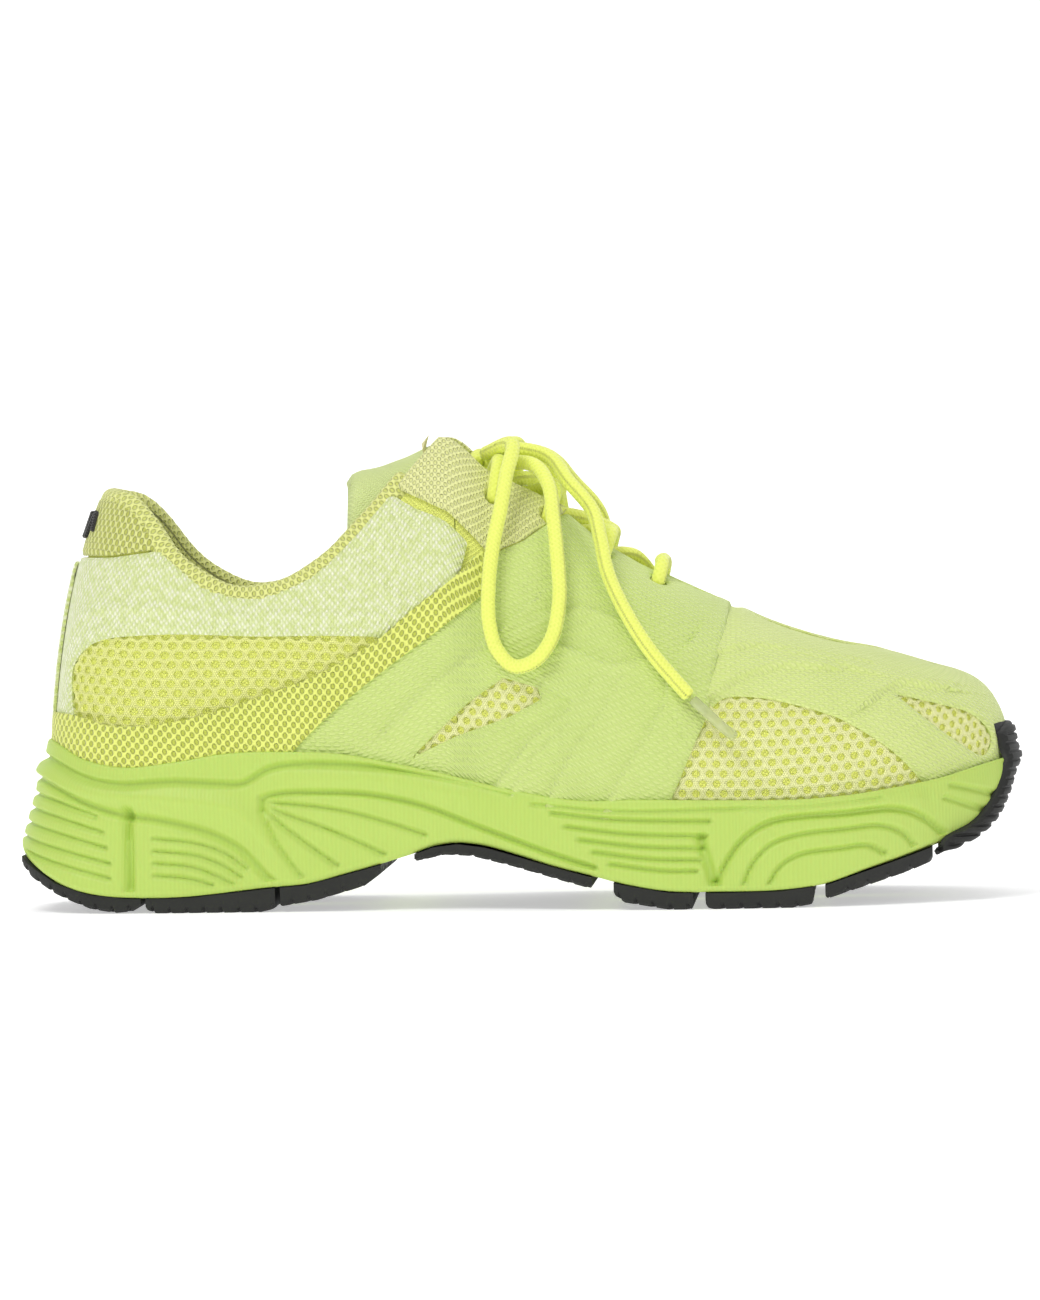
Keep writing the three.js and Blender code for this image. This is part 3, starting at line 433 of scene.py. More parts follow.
def tubeMesh(name, points, radius, sides, relief=None, spacing=0.6):
    # tube round a route, with rounded ends
    pts = np.array(points)
    arc = np.concatenate([[0], np.cumsum(np.linalg.norm(np.diff(pts, axis=0), axis=1))])
    n = max(int(arc[-1] / spacing), 4)
    s = np.linspace(0, arc[-1], n)
    line = np.stack([np.interp(s, arc, pts[:, k]) for k in range(3)], -1)
    line[1:-1] = (line[:-2] + 2 * line[1:-1] + line[2:]) / 4
    tangent = np.gradient(line, axis=0)
    tangent /= np.linalg.norm(tangent, axis=1)[:, None]
    across = np.zeros_like(line)
    a = np.cross(tangent[0], [0, 0, 1.0])
    if np.linalg.norm(a) < 0.1:
        a = np.cross(tangent[0], [1.0, 0, 0])
    for i in range(n):
        a = a - tangent[i] * np.dot(a, tangent[i])
        a /= np.linalg.norm(a)
        across[i] = a
    up = np.cross(tangent, across)
    bpy.ops.mesh.primitive_cylinder_add(vertices=sides, end_fill_type="NGON")
    obj = bpy.context.object
    obj.name = name
    ang = np.arange(sides) * 2 * np.pi / sides
    r = np.full((n, sides), radius)
    if relief is not None:
        r = r + relief(s[:, None], ang[None, :])
    ends = np.minimum(s, arc[-1] - s)
    r = r * np.sqrt(np.clip(1 - (1 - np.clip(ends / (radius * 0.6), 0, 1)) ** 2, 0.02, 1))[:, None]
    ring = (line[:, None, :] + across[:, None, :] * (np.cos(ang)[None, :] * r)[..., None]
            + up[:, None, :] * (np.sin(ang)[None, :] * r)[..., None]).reshape(-1, 3)
    verts = np.concatenate([ring, line[:1], line[-1:]])
    faces = []
    for i in range(n - 1):
        for k in range(sides):
            m = (k + 1) % sides
            faces.append((i * sides + k, i * sides + m, (i + 1) * sides + m, (i + 1) * sides + k))
    for k in range(sides):
        m = (k + 1) % sides
        faces.append((n * sides, m, k))
        faces.append((n * sides + 1, (n - 1) * sides + k, (n - 1) * sides + m))
    mesh = obj.data
    mesh.clear_geometry()
    mesh.from_pydata(((verts + shift) * 0.001).tolist(), [], faces)
    uv = np.stack([np.concatenate([np.repeat(s, sides), [0, arc[-1]]]),
                   np.concatenate([np.tile(ang * radius, n), [0, 0]])], -1)
    setUv(mesh, uv)
    return obj, line, arc[-1]


# Materials
class Nodes:
    # small helper that lays out one material's nodes
    def __init__(self, name, rough, sheen=0.0, coat=0.0):
        self.material = bpy.data.materials.new(name)
        self.material.use_nodes = True
        self.tree = self.material.node_tree
        self.shader = self.tree.nodes["Principled BSDF"]
        self.shader.inputs["Roughness"].default_value = rough
        self.shader.inputs["Sheen Weight"].default_value = sheen
        self.shader.inputs["Coat Weight"].default_value = coat
        self.coordinates = self.tree.nodes.new("ShaderNodeTexCoord")

    def node(self, kind, links=(), **values):
        n = self.tree.nodes.new(kind)
        for key, value in values.items():
            if hasattr(n, key):
                setattr(n, key, value)
            else:
                n.inputs[key].default_value = value
        for socket, source in links:
            self.tree.links.new(source, n.inputs[socket])
        return n

    def mapped(self, space, scale, turn=0.0):
        m = self.node("ShaderNodeMapping", [("Vector", self.coordinates.outputs[space])])
        m.inputs["Scale"].default_value = scale
        m.inputs["Rotation"].default_value = (0, 0, turn)
        return m.outputs[0]

    def noise(self, scale, detail=3, space="Object"):
        n = self.node("ShaderNodeTexNoise", [("Vector", self.coordinates.outputs[space])])
        n.inputs["Scale"].default_value = scale
        n.inputs["Detail"].default_value = detail
        return n.outputs["Fac"]

    def dots(self, pitchU, pitchV, low=0.22, high=0.36):
        # staggered cells, pitchU apart in rows pitchV apart: 0 at their middles, 1 between them
        scale = (math.sqrt(2) / pitchU, math.sqrt(0.5) / pitchV, 1)
        v = self.node("ShaderNodeTexVoronoi", [("Vector", self.mapped("UV", scale, math.pi / 4))], feature="F1")
        v.inputs["Randomness"].default_value = 0.0
        v.inputs["Scale"].default_value = 1.0
        r = self.node("ShaderNodeMapRange", [("Value", v.outputs["Distance"])])
        r.inputs["From Min"].default_value = low
        r.inputs["From Max"].default_value = high
        return r.outputs["Result"]

    def ribs(self, pitch, direction="X", distortion=0.0, turn=0.0, space="UV"):
        w = self.node("ShaderNodeTexWave", [("Vector", self.mapped(space, (1, 1, 1), turn))],
                      wave_type="BANDS", bands_direction=direction)
        w.inputs["Scale"].default_value = 1 / pitch / 3.1831
        w.inputs["Distortion"].default_value = distortion
        w.inputs["Detail"].default_value = 1
        return w.outputs["Fac"]

    def math(self, kind, a, b):
        n = self.node("ShaderNodeMath", operation=kind)
        for i, value in enumerate((a, b)):
            if isinstance(value, (int, float)):
                n.inputs[i].default_value = value
            else:
                self.tree.links.new(value, n.inputs[i])
        return n.outputs[0]

    def mix(self, factor, a, b):
        m = self.node("ShaderNodeMix", data_type="RGBA")
        for socket, value in ((0, factor), (6, a), (7, b)):
            if isinstance(value, (tuple, list, float, int)):
                m.inputs[socket].default_value = value
            else:
                self.tree.links.new(value, m.inputs[socket])
        return m.outputs[2]

    def colour(self, value):
        self.tree.links.new(value, self.shader.inputs["Base Color"])

    def bump(self, heights):
        last = None
        for height, strength, distance in heights:
            b = self.node("ShaderNodeBump", [("Height", height)])
            b.inputs["Strength"].default_value = strength
            b.inputs["Distance"].default_value = distance
            if last is not None:
                self.tree.links.new(last, b.inputs["Normal"])
            last = b.outputs["Normal"]
        self.tree.links.new(last, self.shader.inputs["Normal"])
        return self.material


def rgb(r, g, b):
    # screen value 0..255 to linear
    linear = [v / 255 / 12.92 if v <= 10 else ((v / 255 + 0.055) / 1.055) ** 2.4 for v in (r, g, b)]
    return (*linear, 1.0)


# the darker colour of the textile and lace pairs (Low, Deep, Hole) goes into holes, gaps and grooves, where it is
# partly painted shade
looks = {
    "net": rgb(250, 253, 158), "netDeep": rgb(232, 238, 104), "foreNet": rgb(254, 255, 186),
    "overlayHigh": rgb(222, 238, 150), "overlayLow": rgb(168, 196, 74),
    "toeHigh": rgb(230, 242, 158), "toeLow": rgb(180, 205, 84),
    "panelHigh": rgb(253, 255, 226), "panelLow": rgb(212, 228, 126),
    "strapHigh": rgb(236, 243, 126), "strapHole": rgb(180, 190, 66),
    "patchHigh": rgb(230, 234, 146), "patchLow": rgb(176, 182, 72),
    "stayHigh": rgb(238, 240, 168), "stayLow": rgb(206, 212, 110),
    "foam": rgb(198, 224, 112), "foamLow": rgb(186, 212, 98),
    "liningHigh": rgb(222, 228, 126), "liningLow": rgb(158, 166, 58),
    "tongue": rgb(236, 250, 168), "tongueLow": rgb(190, 212, 112),
    "lace": rgb(246, 254, 122), "laceLow": rgb(228, 240, 92),
    "rubber": rgb(34, 35, 32), "binding": rgb(232, 236, 146), "bindingLow": rgb(190, 198, 84),
}


def fabric(name, high, low, pitch=(0.0024, 0.0016), holes=0.75, rough=0.85, sheen=0.25,
           holeFrom=0.24, holeTo=0.42):
    # spacer mesh: small staggered holes between soft threads; the holes get the darker colour, partly the inner
    # layer seen through and partly painted shade
    m = Nodes(name, rough, sheen)
    dots = m.dots(*pitch, holeFrom, holeTo)
    cloud = m.noise(60, 4)
    fibre = m.noise(1500, 2)
    shade = m.math("MULTIPLY", m.math("ADD", m.math("MULTIPLY", dots, holes), 1 - holes),
                   m.math("ADD", m.math("MULTIPLY", cloud, 0.3), 0.82))
    m.colour(m.mix(shade, low, high))
    return m.bump([(dots, 1.0, 0.0006), (m.ribs(0.0005, "Y"), 0.3, 0.0001), (fibre, 0.4, 0.0002)])


def knit(name, high, low, pitch=(0.0028, 0.00115), depth=0.45, rough=0.8, sheen=0.3):
    # short staggered bars of yarn; the gaps between the bars are painted darker as shade
    m = Nodes(name, rough, sheen)
    line = m.math("SUBTRACT", 1.0, m.ribs(pitch[1], "Y"))
    bars = m.math("MULTIPLY", m.math("SUBTRACT", 1.0, m.dots(*pitch, 0.3, 0.75)),
                  m.math("ADD", m.math("MULTIPLY", line, 0.65), 0.35))
    cloud = m.noise(45, 4)
    fibre = m.noise(1300, 3)
    shade = m.math("MULTIPLY", m.math("ADD", m.math("MULTIPLY", bars, depth), 1 - depth),
                   m.math("ADD", m.math("MULTIPLY", cloud, 0.35), 0.82))
    m.colour(m.mix(shade, low, high))
    return m.bump([(bars, 0.9, 0.0005), (fibre, 0.35, 0.0002)])


def woven(name, high, low):
    # shiny silver weave: white dashes over lime threads, partly the white threads and partly painted highlight
    m = Nodes(name, 0.38, 0.3)
    dashes = m.math("SUBTRACT", 1.0, m.dots(0.0017, 0.0011, 0.15, 0.6))
    broad = m.noise(420, 3, "UV")
    # painted highlight: irregular patches where the dashes are brighter stand in for glints
    glintPatches = m.node("ShaderNodeMapRange", [("Value", broad)])
    glintPatches.inputs["From Min"].default_value = 0.40
    glintPatches.inputs["From Max"].default_value = 0.60
    streak = m.noise(1500, 2)
    shade = m.math("MULTIPLY", m.math("ADD", m.math("MULTIPLY", dashes, 0.7), 0.2),
                   m.math("ADD", m.math("MULTIPLY", glintPatches.outputs["Result"], 0.75), 0.45))
    m.colour(m.mix(shade, low, high))
    m.shader.inputs["Specular IOR Level"].default_value = 0.8
    return m.bump([(dashes, 0.9, 0.0005), (broad, 0.5, 0.0004), (streak, 0.3, 0.0002)])


def threadLook(name, high, low, pitch=0.0012):
    # twisted strands: the grooves between them get the darker colour as painted shade
    m = Nodes(name, 0.75, 0.35)
    twist = m.ribs(pitch, "X", 0.5, 0.6)
    back = m.ribs(pitch, "X", 0.5, -0.6)
    shade = m.math("MULTIPLY", m.math("ADD", m.math("MULTIPLY", m.math("MAXIMUM", twist, back), 0.55), 0.4),
                   m.math("ADD", m.math("MULTIPLY", m.noise(150, 3), 0.3), 0.85))
    m.colour(m.mix(shade, low, high))
    return m.bump([(twist, 0.5, 0.0002), (back, 0.5, 0.0002), (m.noise(2600, 2), 0.3, 0.0001)])


def foamLook(name, high, low):
    m = Nodes(name, 0.5, 0.0)
    m.shader.inputs["Subsurface Weight"].default_value = 0.08
    m.shader.inputs["Subsurface Scale"].default_value = 0.003
    ribs = m.ribs(0.0013, "X", 0.15)
    cloud = m.noise(30, 4)
    # colour: random cloudy tone, with the grooves of the fine ribbing painted darker as shade
    m.colour(m.mix(m.math("ADD", m.math("MULTIPLY", cloud, 0.5), m.math("MULTIPLY", ribs, 0.25)), low, high))
    return m.bump([(ribs, 0.28, 0.00018), (m.noise(1500, 3), 0.15, 0.0001)])


def rubberLook(name, high, low):
    m = Nodes(name, 0.62, 0.0)
    cloud = m.noise(70, 5)
    m.colour(m.mix(cloud, low, high))
    return m.bump([(m.noise(900, 4), 0.3, 0.0002), (m.ribs(0.0011, "Y", 0.0), 0.2, 0.00015)])


def plainLook(name, high, low, rough, scale=80, coat=0.0):
    m = Nodes(name, rough, 0.0, coat)
    m.colour(m.mix(m.noise(scale, 4), low, high))
    return m.bump([(m.noise(scale * 14, 3), 0.25, 0.0002)])


finish = {
    "net": fabric("net", looks["net"], looks["netDeep"], (0.0007, 0.0006), 0.35),
    "foreNet": fabric("fore_net", looks["foreNet"], looks["net"], (0.0007, 0.0006), 0.35),
    "backing": fabric("backing", rgb(244, 250, 132), rgb(222, 230, 96), (0.0011, 0.0008), 0.4),
    "overlay": knit("overlay", looks["overlayHigh"], looks["overlayLow"]),
    "toeOverlay": knit("toe_overlay", looks["toeHigh"], looks["toeLow"]),
    "panel": woven("panel", looks["panelHigh"], looks["panelLow"]),
    "strap": fabric("strap", looks["strapHigh"], looks["strapHole"], (0.0026, 0.0017), 0.85),
    "patch": fabric("patch", looks["patchHigh"], looks["patchLow"], (0.0027, 0.0018), 0.85,
                    holeFrom=0.28, holeTo=0.46),
    "eyestay": fabric("eyestay", looks["stayHigh"], looks["stayLow"], (0.0020, 0.0013), 0.35),
    # the lining's dark olive low colour and strong hole darkening are partly painted shade inside the collar
    "lining": fabric("lining", looks["liningHigh"], looks["liningLow"], (0.0028, 0.0019), 0.9, 0.95, 0.3,
                     0.28, 0.46),
    "tongue": knit("tongue_knit", looks["tongue"], looks["tongueLow"], (0.0013, 0.0009), 0.3),
    "binding": fabric("binding", looks["binding"], looks["bindingLow"], (0.0024, 0.0017), 0.6),
    "lace": threadLook("lace", looks["lace"], looks["laceLow"]),
    "foam": foamLook("midsole_foam", looks["foam"], looks["foamLow"]),
    "rubber": rubberLook("rubber", looks["rubber"], rgb(20, 21, 19)),
    "thread": threadLook("black_thread", rgb(42, 42, 40), rgb(12, 12, 12), 0.0007),
    "softFoam": plainLook("soft_foam", rgb(236, 230, 178), rgb(214, 206, 150), 0.95, 300),
    "stiffener": plainLook("stiffener", rgb(230, 228, 214), rgb(204, 202, 190), 0.7, 200),
    "board": fabric("board", rgb(232, 232, 222), rgb(196, 196, 186), (0.0016, 0.0012), 0.4),
    "insole": fabric("insole", rgb(216, 226, 130), rgb(178, 190, 84), (0.0022, 0.0015), 0.6, 0.95, 0.4),
}
# painted light: a faint self-glow (emission) on the thin nets, and a stronger one on their backing, lifts the shade
# in and behind the holes
for key, share in (("net", 0.07), ("foreNet", 0.07), ("backing", 0.16)):
    shader = finish[key].node_tree.nodes["Principled BSDF"]
    shader.inputs["Emission Color"].default_value = rgb(240, 246, 130)
    shader.inputs["Emission Strength"].default_value = share
tipLook = Nodes("clear_tip", 0.18, 0.0, 0.4)
tipLook.shader.inputs["Transmission Weight"].default_value = 0.55
tipLook.shader.inputs["IOR"].default_value = 1.45
tipLook.colour(tipLook.mix(tipLook.noise(400, 3), rgb(214, 224, 150), rgb(240, 244, 206)))
finish["tip"] = tipLook.bump([(tipLook.noise(500, 2), 0.1, 0.0002)])
print("materials")

# Camera, then the cords
bpy.ops.object.camera_add()
camera = bpy.context.object
cameraView = {"azimuth": 3.0, "elevation": 1.6, "roll": -1.0, "distance": 2.2, "aim": (0.0004, 0.0, 0.0750),
              "lens": 204.0}
turnA, riseA = math.radians(cameraView["azimuth"]), math.radians(cameraView["elevation"])
behind = Vector((math.sin(turnA) * math.cos(riseA), -math.cos(turnA) * math.cos(riseA), math.sin(riseA)))
camera.location = Vector(cameraView["aim"]) + behind * cameraView["distance"]
camera.rotation_mode = "QUATERNION"
levelTurn = (-behind).to_track_quat("-Z", "Y")
camera.rotation_quaternion = levelTurn @ Quaternion((0, 0, 1), math.radians(cameraView["roll"]))
camera.data.lens = cameraView["lens"]
camera.data.sensor_width = 36
camera.data.clip_end = 20
bpy.context.scene.camera = camera


def instepPoint(x, across, distance):
    def height(u, v):
        r = np.clip(abs(v) / halfWidth(u), 0, 1)
        n = roundness(u)
        return footbed(u) + (ridgeHeight(u) - footbed(u)) * (1 - r ** n) ** (1 / n)
    e = 0.5
    n = np.array([-(height(x + e, across) - height(x - e, across)) / (2 * e),
                  -(height(x, across + e) - height(x, across - e)) / (2 * e), 1.0])
    n /= np.linalg.norm(n)
    return np.array([x, centreLine(x) + across, height(x, across)]) + n * distance


def seek(x, z, side):
    turn, climb = 0.5, 0.6
    for _ in range(90):
        p = shellPoint(np.array(turn), np.array(climb), np.array(float(side)))
        turn = min(max(turn + (x - p[0]) / 600, 0), 1)
        climb = min(max(climb + (z - p[2]) / 220, 0), 1)
    return turn, climb


def sidePoint(x, z, side, distance):
    turn, climb = seek(x, z, side)
    t, c, s = np.array(turn), np.array(climb), np.array(float(side))
    return shellPoint(t, c, s) + shellNormal(t, c, s) * distance


laceUnder, laceOver = -3.7, 4.0
laceRows = [-5, 11, 27, 43]
crossLow = layers["tongueOut"] + layers["laceRadius"] + 1.5
crossHigh = crossLow + 2 * layers["laceRadius"] + 0.9


def eyeletTurn(row, side, upward):
    x = laceRows[row]
    t = float(throatHalf(x))
    points = [instepPoint(x + 0.8, side * (t - 1.5), laceUnder + 0.4),
              instepPoint(x + 0.5, side * (t + 3.2), laceUnder),
              instepPoint(x, side * (t + 7.3), (laceUnder + laceOver) / 2),
              instepPoint(x - 0.5, side * (t + 3), laceOver + 0.4),
              instepPoint(x - 0.8, side * (t - 2), laceOver + 0.6)]
    return points if upward else points[::-1]


def laceStrand(firstSide, level):
    points, side = [], firstSide
    for row in range(len(laceRows) - 1, -1, -1):
        points += eyeletTurn(row, side, row != len(laceRows) - 1)
        if row > 0:
            x = (laceRows[row] + laceRows[row - 1]) / 2
            points.append(instepPoint(x, 0, crossHigh if (row % 2 == 0) == level else crossLow))
        side = -side
    return points


knotCentre = instepPoint(-7.5, 0, -0.8)


def fromKnot(dx, dy, dz):
    return knotCentre + np.array([dx, dy, dz])


def braid(s, a):
    # raised strands of a round braid
    return 0.06 * (np.abs(np.sin(s * 2.4 + a * 3)) + np.abs(np.sin(s * 2.4 - a * 3)) - 1.2)


lay = layers["strapOut"] + 0.3 + layers["laceRadius"] + 0.5
loopPairs = [[-4.6, 105], [-5.4, 94], [-5, 83.5], [-2.6, 75.6], [2.2, 70.8], [7.8, 71.8], [12.6, 77.6],
             [14.4, 88], [13.4, 98]]
endPairs = [[27, 94.5], [33.6, 83], [41.5, 72.3], [52.5, 60]]
tipPairs = [[52.85, 59.65], [60.4, 52.8], [65.8, 48.4]]
laceDrawn = 2.15


for sideName, sign in (("lateral", -1), ("medial", 1)):
    def over(x, across, d):
        return instepPoint(x, sign * across, d)

    def knotPoint(dx, dy, dz):
        return fromKnot(dx, sign * dy, dz)
    loopRoute = spline([knotPoint(-0.5, 5.6, 3.1), over(-4.4, 12.4, 12.4), over(-3.4, 19.5, 10.2),
                        sidePoint(-3.2, 114, sign, lay + 2.4),
                        *[sidePoint(x, z, sign, lay) for x, z in loopPairs],
                        sidePoint(10.4, 110, sign, lay + 2.4), over(7.8, 17.5, 9.6), over(3.2, 11.6, 8.8),
                        knotPoint(5.4, 4, 0.9)])
    loop, line, length = tubeMesh("lace_loop_" + sideName + "_look", loopRoute, laceDrawn, 20, braid)
    finishPiece(loop, finish["lace"], ["lace_loop_" + sideName])
    endRoute = spline([knotPoint(2.6, 2.7, 5.8), over(4.8, 3.6, 10.6), over(12, 12.2, 9.8),
                       sidePoint(18.5, 110, sign, lay + 3.6), sidePoint(23, 102.5, sign, lay + 2),
                       *[sidePoint(x, z, sign, lay) for x, z in endPairs]])
    end, line, length = tubeMesh("lace_end_" + sideName + "_look", endRoute, laceDrawn, 20, braid)
    finishPiece(end, finish["lace"], ["lace_end_" + sideName])
    tip, _, _ = tubeMesh("lace_tip_" + sideName + "_look",
                         spline([sidePoint(x, z, sign, lay) for x, z in tipPairs]), 1.55, 20)
    finishPiece(tip, finish["tip"], ["lace_tip_" + sideName])
strandA, strandB = laceStrand(-1, True), laceStrand(1, False)
laceRoute = spline([fromKnot(2, 6.2, -2.6), *strandA[::-1], instepPoint(laceRows[-1], 0, laceOver - 0.2),
                    *strandB, fromKnot(2, -6.2, -2.6)])
lacing, _, _ = tubeMesh("lacing_look", laceRoute, laceDrawn, 16, braid, 0.7)
finishPiece(lacing, finish["lace"], ["lacing"])
print("laces")


# Bow knot: one wrapped band over a core
def knotWrap(name, points, radius):
    obj, _, _ = tubeMesh(name, spline(points, 16), radius, 20, braid, 0.4)
    finishPiece(obj, finish["lace"])
    return obj


wrapAngles = np.linspace(-2.6, 2.9, 9)
wrapRoute = [fromKnot(0.6 * math.cos(a) * 1.2 + 1.0, 4.4 * math.sin(a) * 0.3 + a * 0.25 - 0.8, 3.4 * math.cos(a))
             for a in wrapAngles]
knotWrap("bow_knot_wrap", wrapRoute, 2.0)
band = knotWrap("bow_knot_band", [fromKnot(-2.2, -5.6, 0.2), fromKnot(-2.8, -2, 2.2), fromKnot(-1.6, 1.6, 2.9),
                                  fromKnot(1.4, 4.6, 1.6), fromKnot(3.2, 5.2, -0.6)], 2.0)
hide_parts("bow_knot")
print("knot")


# Outlines of the upper's pieces, seen from the side
def mirrored(pairs):
    # a half outline closed round the centre line
    return [[x, y + float(centreLine(x))] for x, y in pairs] + \
        [[x, -y + float(centreLine(x))] for x, y in pairs[::-1]]


collarLine = [[-170, 122.5]] + [[x, float(collarSeam(x))] for x in np.linspace(-131, -28, 44)] + \
             [[-20.5, 139.5], [-20, 190], [-170, 190]]
throatLine = [[x, float(throatHalf(x))] for x in (-60, -42, -25, -10, 0, 15, 30, 44, 54)] + \
             [[58.5, 5.0], [60, 2.5]]
throatLine = mirrored(throatLine)
heelWindow = spline([[-131, 62], [-130.5, 73], [-124, 79.5], [-106, 81.9], [-74, 81], [-50, 80.8],
                     [-38, 79.6], [-56, 69.5], [-74, 63], [-100, 56], [-122, 55.5], [-130, 58], [-131, 62]], 5)
archWindow = [[-31, 43.4], [-22, 52], [-12, 61], [-1.8, 68], [8.4, 65], [9.3, 61.6], [0, 56.6], [-16, 51],
              [-26, 46.4]]
foreWindow = np.concatenate([spline([[46.5, 30], [52, 44], [57.6, 56], [62, 60.6], [72, 60.8], [84, 58.2],
                                     [95.4, 54.4], [104.5, 49.4], [113, 43], [121, 34]], 5),
                             [[121, 10], [46.5, 10]]])
toeWindow = spline([[112.5, 60.6], [125, 57.4], [134, 54.4], [139, 50], [140.3, 46], [138, 42], [131, 46],
                    [121, 53.6], [112.5, 60.6]], 5)
vampWindow = spline([[68, 0], [72, 9], [84, 13], [98, 12], [108, 0], [98, -12], [84, -13], [72, -9], [68, 0]], 5)
vampWindow[:, 1] += centreLine(vampWindow[:, 0])
strapLine = np.concatenate([
    spline([[-150, 58.5], [-131, 58.5], [-118, 55.2], [-102, 55.8], [-87, 59.2], [-74, 63.3], [-57, 69.4],
            [-39, 79.4], [-29, 87.6], [-17, 96.6], [-8, 105]], 5),
    spline([[-5, 94], [-9, 91], [-20, 82.5], [-35, 72], [-50.7, 60], [-64, 47.5], [-70, 40]], 5), [[-150, 40]]])
panelEdge = spline([[-12.3, 107.5], [-15.5, 97.5], [-29.4, 86], [-43, 76], [-60, 62], [-78, 48], [-88, 30]], 4)
panelLine = np.concatenate([[[-150, 20], [-150, 104.4], [-118, 104.7], [-104, 106.5], [-104, 135], [-36, 135],
                             [-35, 122]], spline([[-28, 118], [-19, 114], [-12.3, 107.5]], 4), panelEdge[1:],
                            [[-88, 20]]])
patchLine = [[-150, 105], [-118, 105.3], [-104.3, 107.1], [-104.3, 160], [-150, 160]]
eyestayLine = [[-34, 124], [-26, 120.5], [-18, 116.6], [-11, 109.5], [-6, 104], [4, 108], [12, 113.5], [20, 118],
               [20, 160], [-60, 160], [-60, 125]]
sideLine = [[-87, 20], [-87, 30], [-77, 48], [-59, 61.6], [-42, 75.6], [-28.6, 85.6], [-14.8, 97], [-10.5, 103.6],
            [-6, 103.6], [4, 107.6], [12, 113.1], [21, 118], [70, 118], [62, 78], [59, 66], [57.8, 56.2],
            [52.3, 44], [46.3, 30], [46.3, 20]]
toeLine = [[46.6, 20], [46.6, 30], [52.9, 44], [58.4, 56], [59.6, 66], [62.6, 78], [70.7, 118], [200, 118],
           [200, 20]]


def collarTest(p, s):
    return -inside(p[..., 0], p[..., 2], collarLine)


def aboveFeather(p, s):
    return p[..., 2] - rimLine(p[..., 0]) + 1.5


def clearOf(outline, height):
    # above a height, outside an outline seen from the top
    return lambda p, s: np.where(p[..., 2] > height, -inside(p[..., 0], p[..., 1], outline), 50)


def rearOf(x):
    return lambda p, s: x - p[..., 0]


def frontOf(x):
    return lambda p, s: p[..., 0] - x


def sideView(outline):
    return lambda p, s: inside(p[..., 0], p[..., 2], outline)


def both(*tests):
    return lambda p, s: np.minimum.reduce([t(p, s) for t in tests])


def away(test, room=0.15):
    return lambda p, s: -test(p, s) - room


eyelets = [instepPoint(x, sign * (float(throatHalf(x)) + 7.3), 0.0) for x in laceRows for sign in (-1, 1)]


def outsideEyelets(p, s):
    best = np.full(p.shape[:-1], 50.0)
    for c in eyelets:
        best = np.minimum(best, np.linalg.norm(p - c, axis=-1) - 2.7)
    return best


throatTest = clearOf(throatLine, 60)
panelArea = sideView(panelLine)
upperBand = both(collarTest, throatTest)
meshLevel, meshWall, meshCell = -0.75, 0.45, 1.6
overlayOut = 1.45
pleats = [[[7, 90], [-9, 76.4], [-23, 66], [-36, 54]], [[30, 84], [20, 87], [8, 84], [-2, 78]],
          [[40, 72], [30, 71], [16, 76.5]], [[7, 69.6], [13, 64], [18.5, 60.5], [6, 49.8], [-3, 38]],
          [[24, 66], [18, 56], [4, 42], [0, 33]], [[32, 66], [26, 56], [18, 46], [11, 32]],
          [[46, 61], [40, 50], [34, 41], [28, 30]], [[52, 76], [46, 66], [50, 52]]]
panelRidges = [[[-131, 80.5], [-128, 87.3], [-120, 89.6], [-101, 89], [-69, 86.8], [-33, 87.2]],
               [[-46, 103.8], [-38, 95.4], [-26, 90.2]], [[-36, 116], [-24, 110], [-17, 103], [-16.5, 97]]]
toePleats = [[[52, 62], [54, 68], [58, 72.6], [69, 74.4], [80, 73], [105, 68]],
             [[59.8, 61.6], [67, 66.2], [80, 68.8], [92, 67.6]],
             [[82, 71.4], [92, 69.6], [106, 65], [126, 61]], [[104, 58], [112, 62.8], [128, 61.6]]]


def leftOf(px, py, points):
    # signed distance to a line, positive on its left
    best = np.full(px.shape, 1e9)
    sign = np.ones(px.shape)
    for (ax, ay), (bx, by) in zip(points[:-1], points[1:]):
        dx, dy = bx - ax, by - ay
        t = np.clip(((px - ax) * dx + (py - ay) * dy) / (dx * dx + dy * dy), 0, 1)
        d = (px - ax - t * dx) ** 2 + (py - ay - t * dy) ** 2
        cross = np.sign(dx * (py - ay) - dy * (px - ax))
        sign = np.where(d < best, cross, sign)
        best = np.minimum(best, d)
    return sign * np.sqrt(best)


def folded(lines, high, run):
    # soft pleats: steep on one side, running out on the other
    def value(p):
        total = np.zeros(p.shape[:-1])
        for line in lines:
            d = leftOf(p[..., 0], p[..., 2], spline(line, 6))
            rise = smoothstep(d, -0.9, 0.7) * np.exp(-np.maximum(d, 0) / run)
            total = np.maximum(total, high * rise)
        return total
    return value


def raised(lines, high, width):
    def value(p):
        total = np.zeros(p.shape[:-1])
        for line in lines:
            d = lineDistance(p[..., 0], p[..., 2], spline(line, 6))
            total = total + high * np.exp(-(d / width) ** 2)
        return total
    return value


def shaped(base, *extras):
    def distance(p, s, f):
        d = base(p, s, f)
        for extra in extras:
            d = d + extra(p)
        return d
    return distance


def puff(p):
    # the textile swells a little between its fixings
    x, z = p[..., 0], p[..., 2]
    return 0.25 * np.sin(x * 0.11 + z * 0.07) + 0.18 * np.sin(x * 0.23 - z * 0.19)


